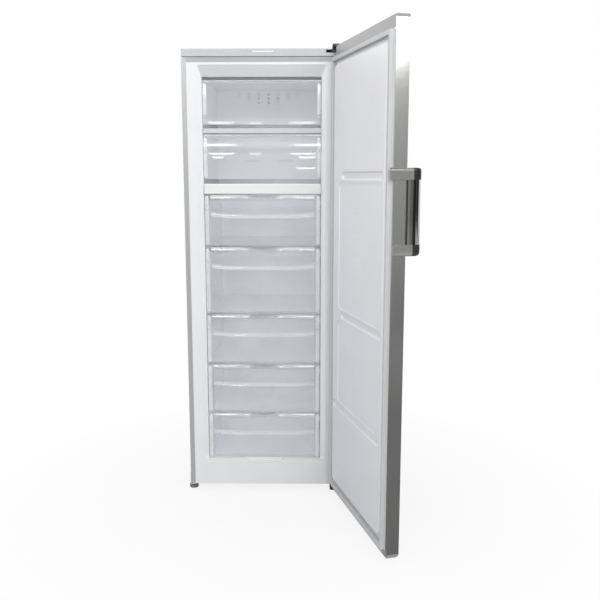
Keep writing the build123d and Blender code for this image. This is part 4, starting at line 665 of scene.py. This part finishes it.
# ------------------------------------------------------------------ rear wall of the inside
OPENING_TOP = 1615.0
SLOT_MIDDLES = (-75.0, 75.0)
SLOT_STRAIGHT = 28.0   # half of a slot between its round ends
SLOT_ROUND = 4.2
BLADE_HALF = 31.0
BLADE_STEPS = 12
BLADE_LEVELS = (-2.1, 1.5)
BLADE_PROFILE = [(-0.5, -1.7), (-0.4, 1.1), (-2.2, 1.7), (-2.3, -1.1)]
VENT_COUNTS = (7, 5, 3)  # in the rows, from the top
VENT_DROP = 15.0       # first row under the opening's top
VENT_ACROSS = 42.0     # from vent to vent
VENT_DOWN = 17.5       # from row to row
VENT_RADIUS = 6.5
VENT_SHRINK = 0.5      # from row to row
RIM_OUT = 1.6          # from a vent's edge to the middle of its rim
RIM_HALF = 1.2
RIM_PROUD = 1.0
RIM_SIDES = 20


def slot_levels():
    """Heights of the air slots: behind the four upper drawers and between the two shelves."""
    pairs = [span(f"drawer_{number}_front") for number in range(1, 5)]
    pairs.append((span("shelf_1_front")[0], span("shelf_2_front")[1]))
    return [(low.z + high.z) / 2 for low, high in pairs]


def add_blade(mesh, face, middle, level, offset):
    """Thin blade across a slot, nearer to the slot's middle line at its round ends."""
    rings = []
    for step in range(BLADE_STEPS + 1):
        x = middle - BLADE_HALF + 2 * BLADE_HALF * step / BLADE_STEPS
        past = max(0.0, abs(x - middle) - SLOT_STRAIGHT) / SLOT_ROUND
        room = math.sqrt(max(0.0, 1 - past ** 2))
        rings.append(section(x, face, level + offset * room, BLADE_PROFILE))
    add_loft(mesh, rings)


def make_slot_blades():
    """Two curved blades in each air slot of the rear wall, so that no dark hole shows."""
    mesh = bmesh.new()
    face = span("air_duct_cover")[0].y
    for level in slot_levels():
        for middle in SLOT_MIDDLES:
            for offset in BLADE_LEVELS:
                add_blade(mesh, face, middle, level, offset)
    finish_piece("slot_blades", mesh, "white_liner", "cabinet")


def add_rim(mesh, x, face, level, radius):
    """Round rim on a face that looks along -Y."""
    bends = [2 * math.pi * bit / 6 for bit in range(6)]
    rings = []
    for side in range(RIM_SIDES + 1):
        turn = 2 * math.pi * side / RIM_SIDES
        ring = []
        for bend in bends:
            reach = radius + RIM_HALF * math.cos(bend)
            ring.append((x + reach * math.cos(turn), face + 0.1 - RIM_PROUD * math.sin(bend),
                         level + reach * math.sin(turn)))
        rings.append(ring)
    add_loft(mesh, rings)


def make_vent_rims():
    """Raised rim round each round vent of the rear wall."""
    mesh = bmesh.new()
    face = span("air_duct_cover")[0].y
    for row, count in enumerate(VENT_COUNTS):
        radius = VENT_RADIUS - VENT_SHRINK * row + RIM_OUT
        level = OPENING_TOP - VENT_DROP - VENT_DOWN * row
        for place in range(count):
            add_rim(mesh, VENT_ACROSS * (place - (count - 1) / 2), face, level, radius)
    finish_piece("vent_rims", mesh, "white_liner", "cabinet", sharp=70)


# ------------------------------------------------------------------ top strip, door and handle
STRIP_SEAT = 0.3       # how deep the strip's pieces sit in it
LIGHT_BAR_LEVEL = 1703.6
LIGHT_BAR_SCALES = ((-34.5, 0.3), (-33.4, 0.8), (-31.0, 1.0), (42.0, 1.0), (44.4, 0.8), (45.5, 0.3))
LENS_X = 76.0
LENS_LEVEL = 1698.3
PIP_FACE = -5.0        # the fields of the door liner
PIP_ROWS = (1450, 1365, 1310, 1225, 1130, 1065, 985, 905, 830, 690, 620, 545, 470)
PIP_PLACES = (-34.0, -17.0, 0.0, 17.0, 34.0)
HANDLE_SIDE = -305.0
DOOR_FACE = -58.6
BAR_LOW = 1044.5
BAR_HIGH = 1240.5
# Across the dark piece that stands in for the gap's shadow: place along x, and how far before the
# door's face.
GAP_SHADE_PROFILE = ((HANDLE_SIDE + 0.8, 1.4), (HANDLE_SIDE + 0.8, 0.7), (HANDLE_SIDE + 1.6, 0.05),
               (-295.5, 0.05), (-296.0, 1.4))


def make_cover_light_bar():
    """Plain light bar and a small lens on the top cover's front strip."""
    face = span("top_cover")[0].y
    rings = []
    for x, scale in LIGHT_BAR_SCALES:
        profile = [(-STRIP_SEAT, 3.3 * scale), (0.9 * scale, 2.6 * scale), (1.1 * scale, 0.0),
                   (0.9 * scale, -2.6 * scale), (-STRIP_SEAT, -3.3 * scale)]
        rings.append(section(x, face, LIGHT_BAR_LEVEL, profile))
    light_bar = bmesh.new()
    add_loft(light_bar, rings)
    finish_piece("cover_light_bar", light_bar, "white_liner", "cabinet")
    lens = bmesh.new()
    add_dome(lens, (LENS_X, face + STRIP_SEAT, LENS_LEVEL), radius=4.2, height=1.3)
    finish_piece("cover_lens", lens, "drain_plastic", "cabinet", sharp=60)


def make_door_pips():
    """Rows of small pips on the fields of the door liner, as moulded on the real one."""
    mesh = bmesh.new()
    for level in PIP_ROWS:
        for x in PIP_PLACES:
            add_dome(mesh, (x, PIP_FACE - 0.2, level), radius=2.6, height=1.5, forward=1,
                     rings=3, sides=10)
    finish_piece("door_pips", mesh, "door_liner_white", "door", on_door, sharp=70)


def make_handle_gap_shade():
    """Dark piece, painted shade, that fills the shadowed line between the handle's bar and the door's
    corner.
    """
    mesh = bmesh.new()
    add_loft(mesh, [[(x, DOOR_FACE - proud, z) for x, proud in GAP_SHADE_PROFILE]
                    for z in (BAR_LOW + 0.5, (BAR_LOW + BAR_HIGH) / 2, BAR_HIGH - 0.5)])
    finish_piece("handle_gap_shade", mesh, "mount_rubber", "door", on_door)


for number in range(1, 6):
    make_drawer_details(number)
make_flap_details()
make_slot_blades()
make_vent_rims()
make_cover_light_bar()
make_door_pips()
make_handle_gap_shade()


# ------------------------------------------------------------------ floor, light, world
FLOOR_HALF = 14.0
FLOOR_LEVEL = -0.0005
GLOW_SHARES = (0.86, 1.0)  # how much white the camera sees near the freezer and away from it
GLOW_RADII = (0.3, 1.3)    # metres from the middle where that is
WORLD_LEVEL = 0.60
# What gloss sees: levels from straight down to straight up, and all the way round.
ROOM_BANDS = [(0.0, 0.16), (0.30, 0.20), (0.42, 0.35), (0.48, 0.66), (0.53, 0.85), (1.0, 0.8)]
ROOM_SIDE = [(0.0, 1.0), (0.28, 1.0), (0.335, 0.62), (0.362, 0.45), (0.375, 0.03),
             (0.485, 0.03), (0.505, 1.0), (1.0, 1.0)]
SOFTBOX_LINE = -3.4
SOFTBOX_LEVEL = 2.63
SOFTBOX_HEIGHT = 1.05
# Name, place, aim, width, height, power.
LAMPS = (
    ("softbox_left", (-1.5, SOFTBOX_LINE, SOFTBOX_LEVEL), (-1.5, 0.2, 0.9), 1.86, SOFTBOX_HEIGHT, 37.0),
    ("softbox_right", (1.35, SOFTBOX_LINE, SOFTBOX_LEVEL), (1.35, 0.2, 0.9), 2.8, SOFTBOX_HEIGHT, 47.0),
    ("softbox_top", (0.1, -0.9, 3.7), (0, 0.1, 0.8), 1.8, 1.8, 22.0),
    ("back_light", (-1.8, 3.2, 2.6), (0, 0.2, 0.9), 1.8, 1.8, 24.0),
)


def area(name, place, aim, width, height, power):
    """Rectangular lamp at a place, turned to its aim."""
    data = bpy.data.lights.new(name, "AREA")
    data.shape = "RECTANGLE"
    data.size = width
    data.size_y = height
    data.energy = power
    lamp = put_in_scene(name, data)
    lamp.location = place
    lamp.rotation_euler = (Vector(aim) - Vector(place)).to_track_quat("-Z", "Y").to_euler()


def floor_material():
    """Pale matt floor, nearly white to the camera and fully white away from the freezer."""
    made = Shader("floor")
    made.drive(Base_Color=made.mottle(made.noise(3.0), grey(0.60), grey(0.64)))
    made.set(Roughness=0.85, Specular_IOR_Level=0.2)
    away = made.node("ShaderNodeVectorMath", operation="LENGTH")
    made.link(made.coords((1, 1, 0)), away.inputs[0])
    share = made.to_range(away.outputs["Value"], *GLOW_SHARES, *GLOW_RADII)
    glow = made.node("ShaderNodeEmission")
    mixed = made.mix_shaders(made.calc("MULTIPLY", made.ray("Camera"), share),
                             made.bsdf.outputs[0], glow.outputs[0])
    made.link(mixed, made.out.inputs["Surface"])
    return made.material


def make_floor():
    """Pale floor that the camera sees as white, with the freezer's soft shadow on it."""
    half = FLOOR_HALF
    corners = ((-half, -half), (half, -half), (half, half), (-half, half))
    mesh = bpy.data.meshes.new("floor")
    mesh.from_pydata([(x, y, FLOOR_LEVEL) for x, y in corners], [], [(0, 1, 2, 3)])
    floor = put_in_scene("floor", mesh)
    mesh.materials.append(floor_material())


def background(made, level):
    """Even white light of one level."""
    even = made.node("ShaderNodeBackground")
    even.inputs["Color"].default_value = (*WHITE, 1.0)
    even.inputs["Strength"].default_value = level
    return even.outputs[0]


def room_light(made):
    """Pale room that is darker low down and has one dark side."""
    x, y, z = made.parts("Generated")
    height = made.to_range(z, 0.0, 1.0, from_low=-1.0)
    around = made.to_range(made.calc("ARCTAN2", y, x), 0.0, 1.0, -math.pi, math.pi)
    colours = made.multiply(made.ramp(height, grey_stops(ROOM_BANDS)),
                            made.ramp(around, grey_stops(ROOM_SIDE)))
    room = made.node("ShaderNodeBackground")
    made.link(colours, room.inputs["Color"])
    return room.outputs[0]


def make_world():
    """Even studio light; gloss sees a pale room, and the camera sees white."""
    world = bpy.data.worlds.new("studio")
    bpy.context.scene.world = world
    world.use_nodes = True
    world.node_tree.nodes.clear()
    made = Nodes(world.node_tree)
    lit = made.mix_shaders(made.ray("Glossy"), background(made, WORLD_LEVEL), room_light(made))
    seen = made.calc("MAXIMUM", made.ray("Camera"), made.ray("Transmission"))
    out = made.node("ShaderNodeOutputWorld")
    made.link(made.mix_shaders(seen, lit, background(made, 1.0)), out.inputs["Surface"])


make_floor()
make_world()
for lamp in LAMPS:
    area(*lamp)
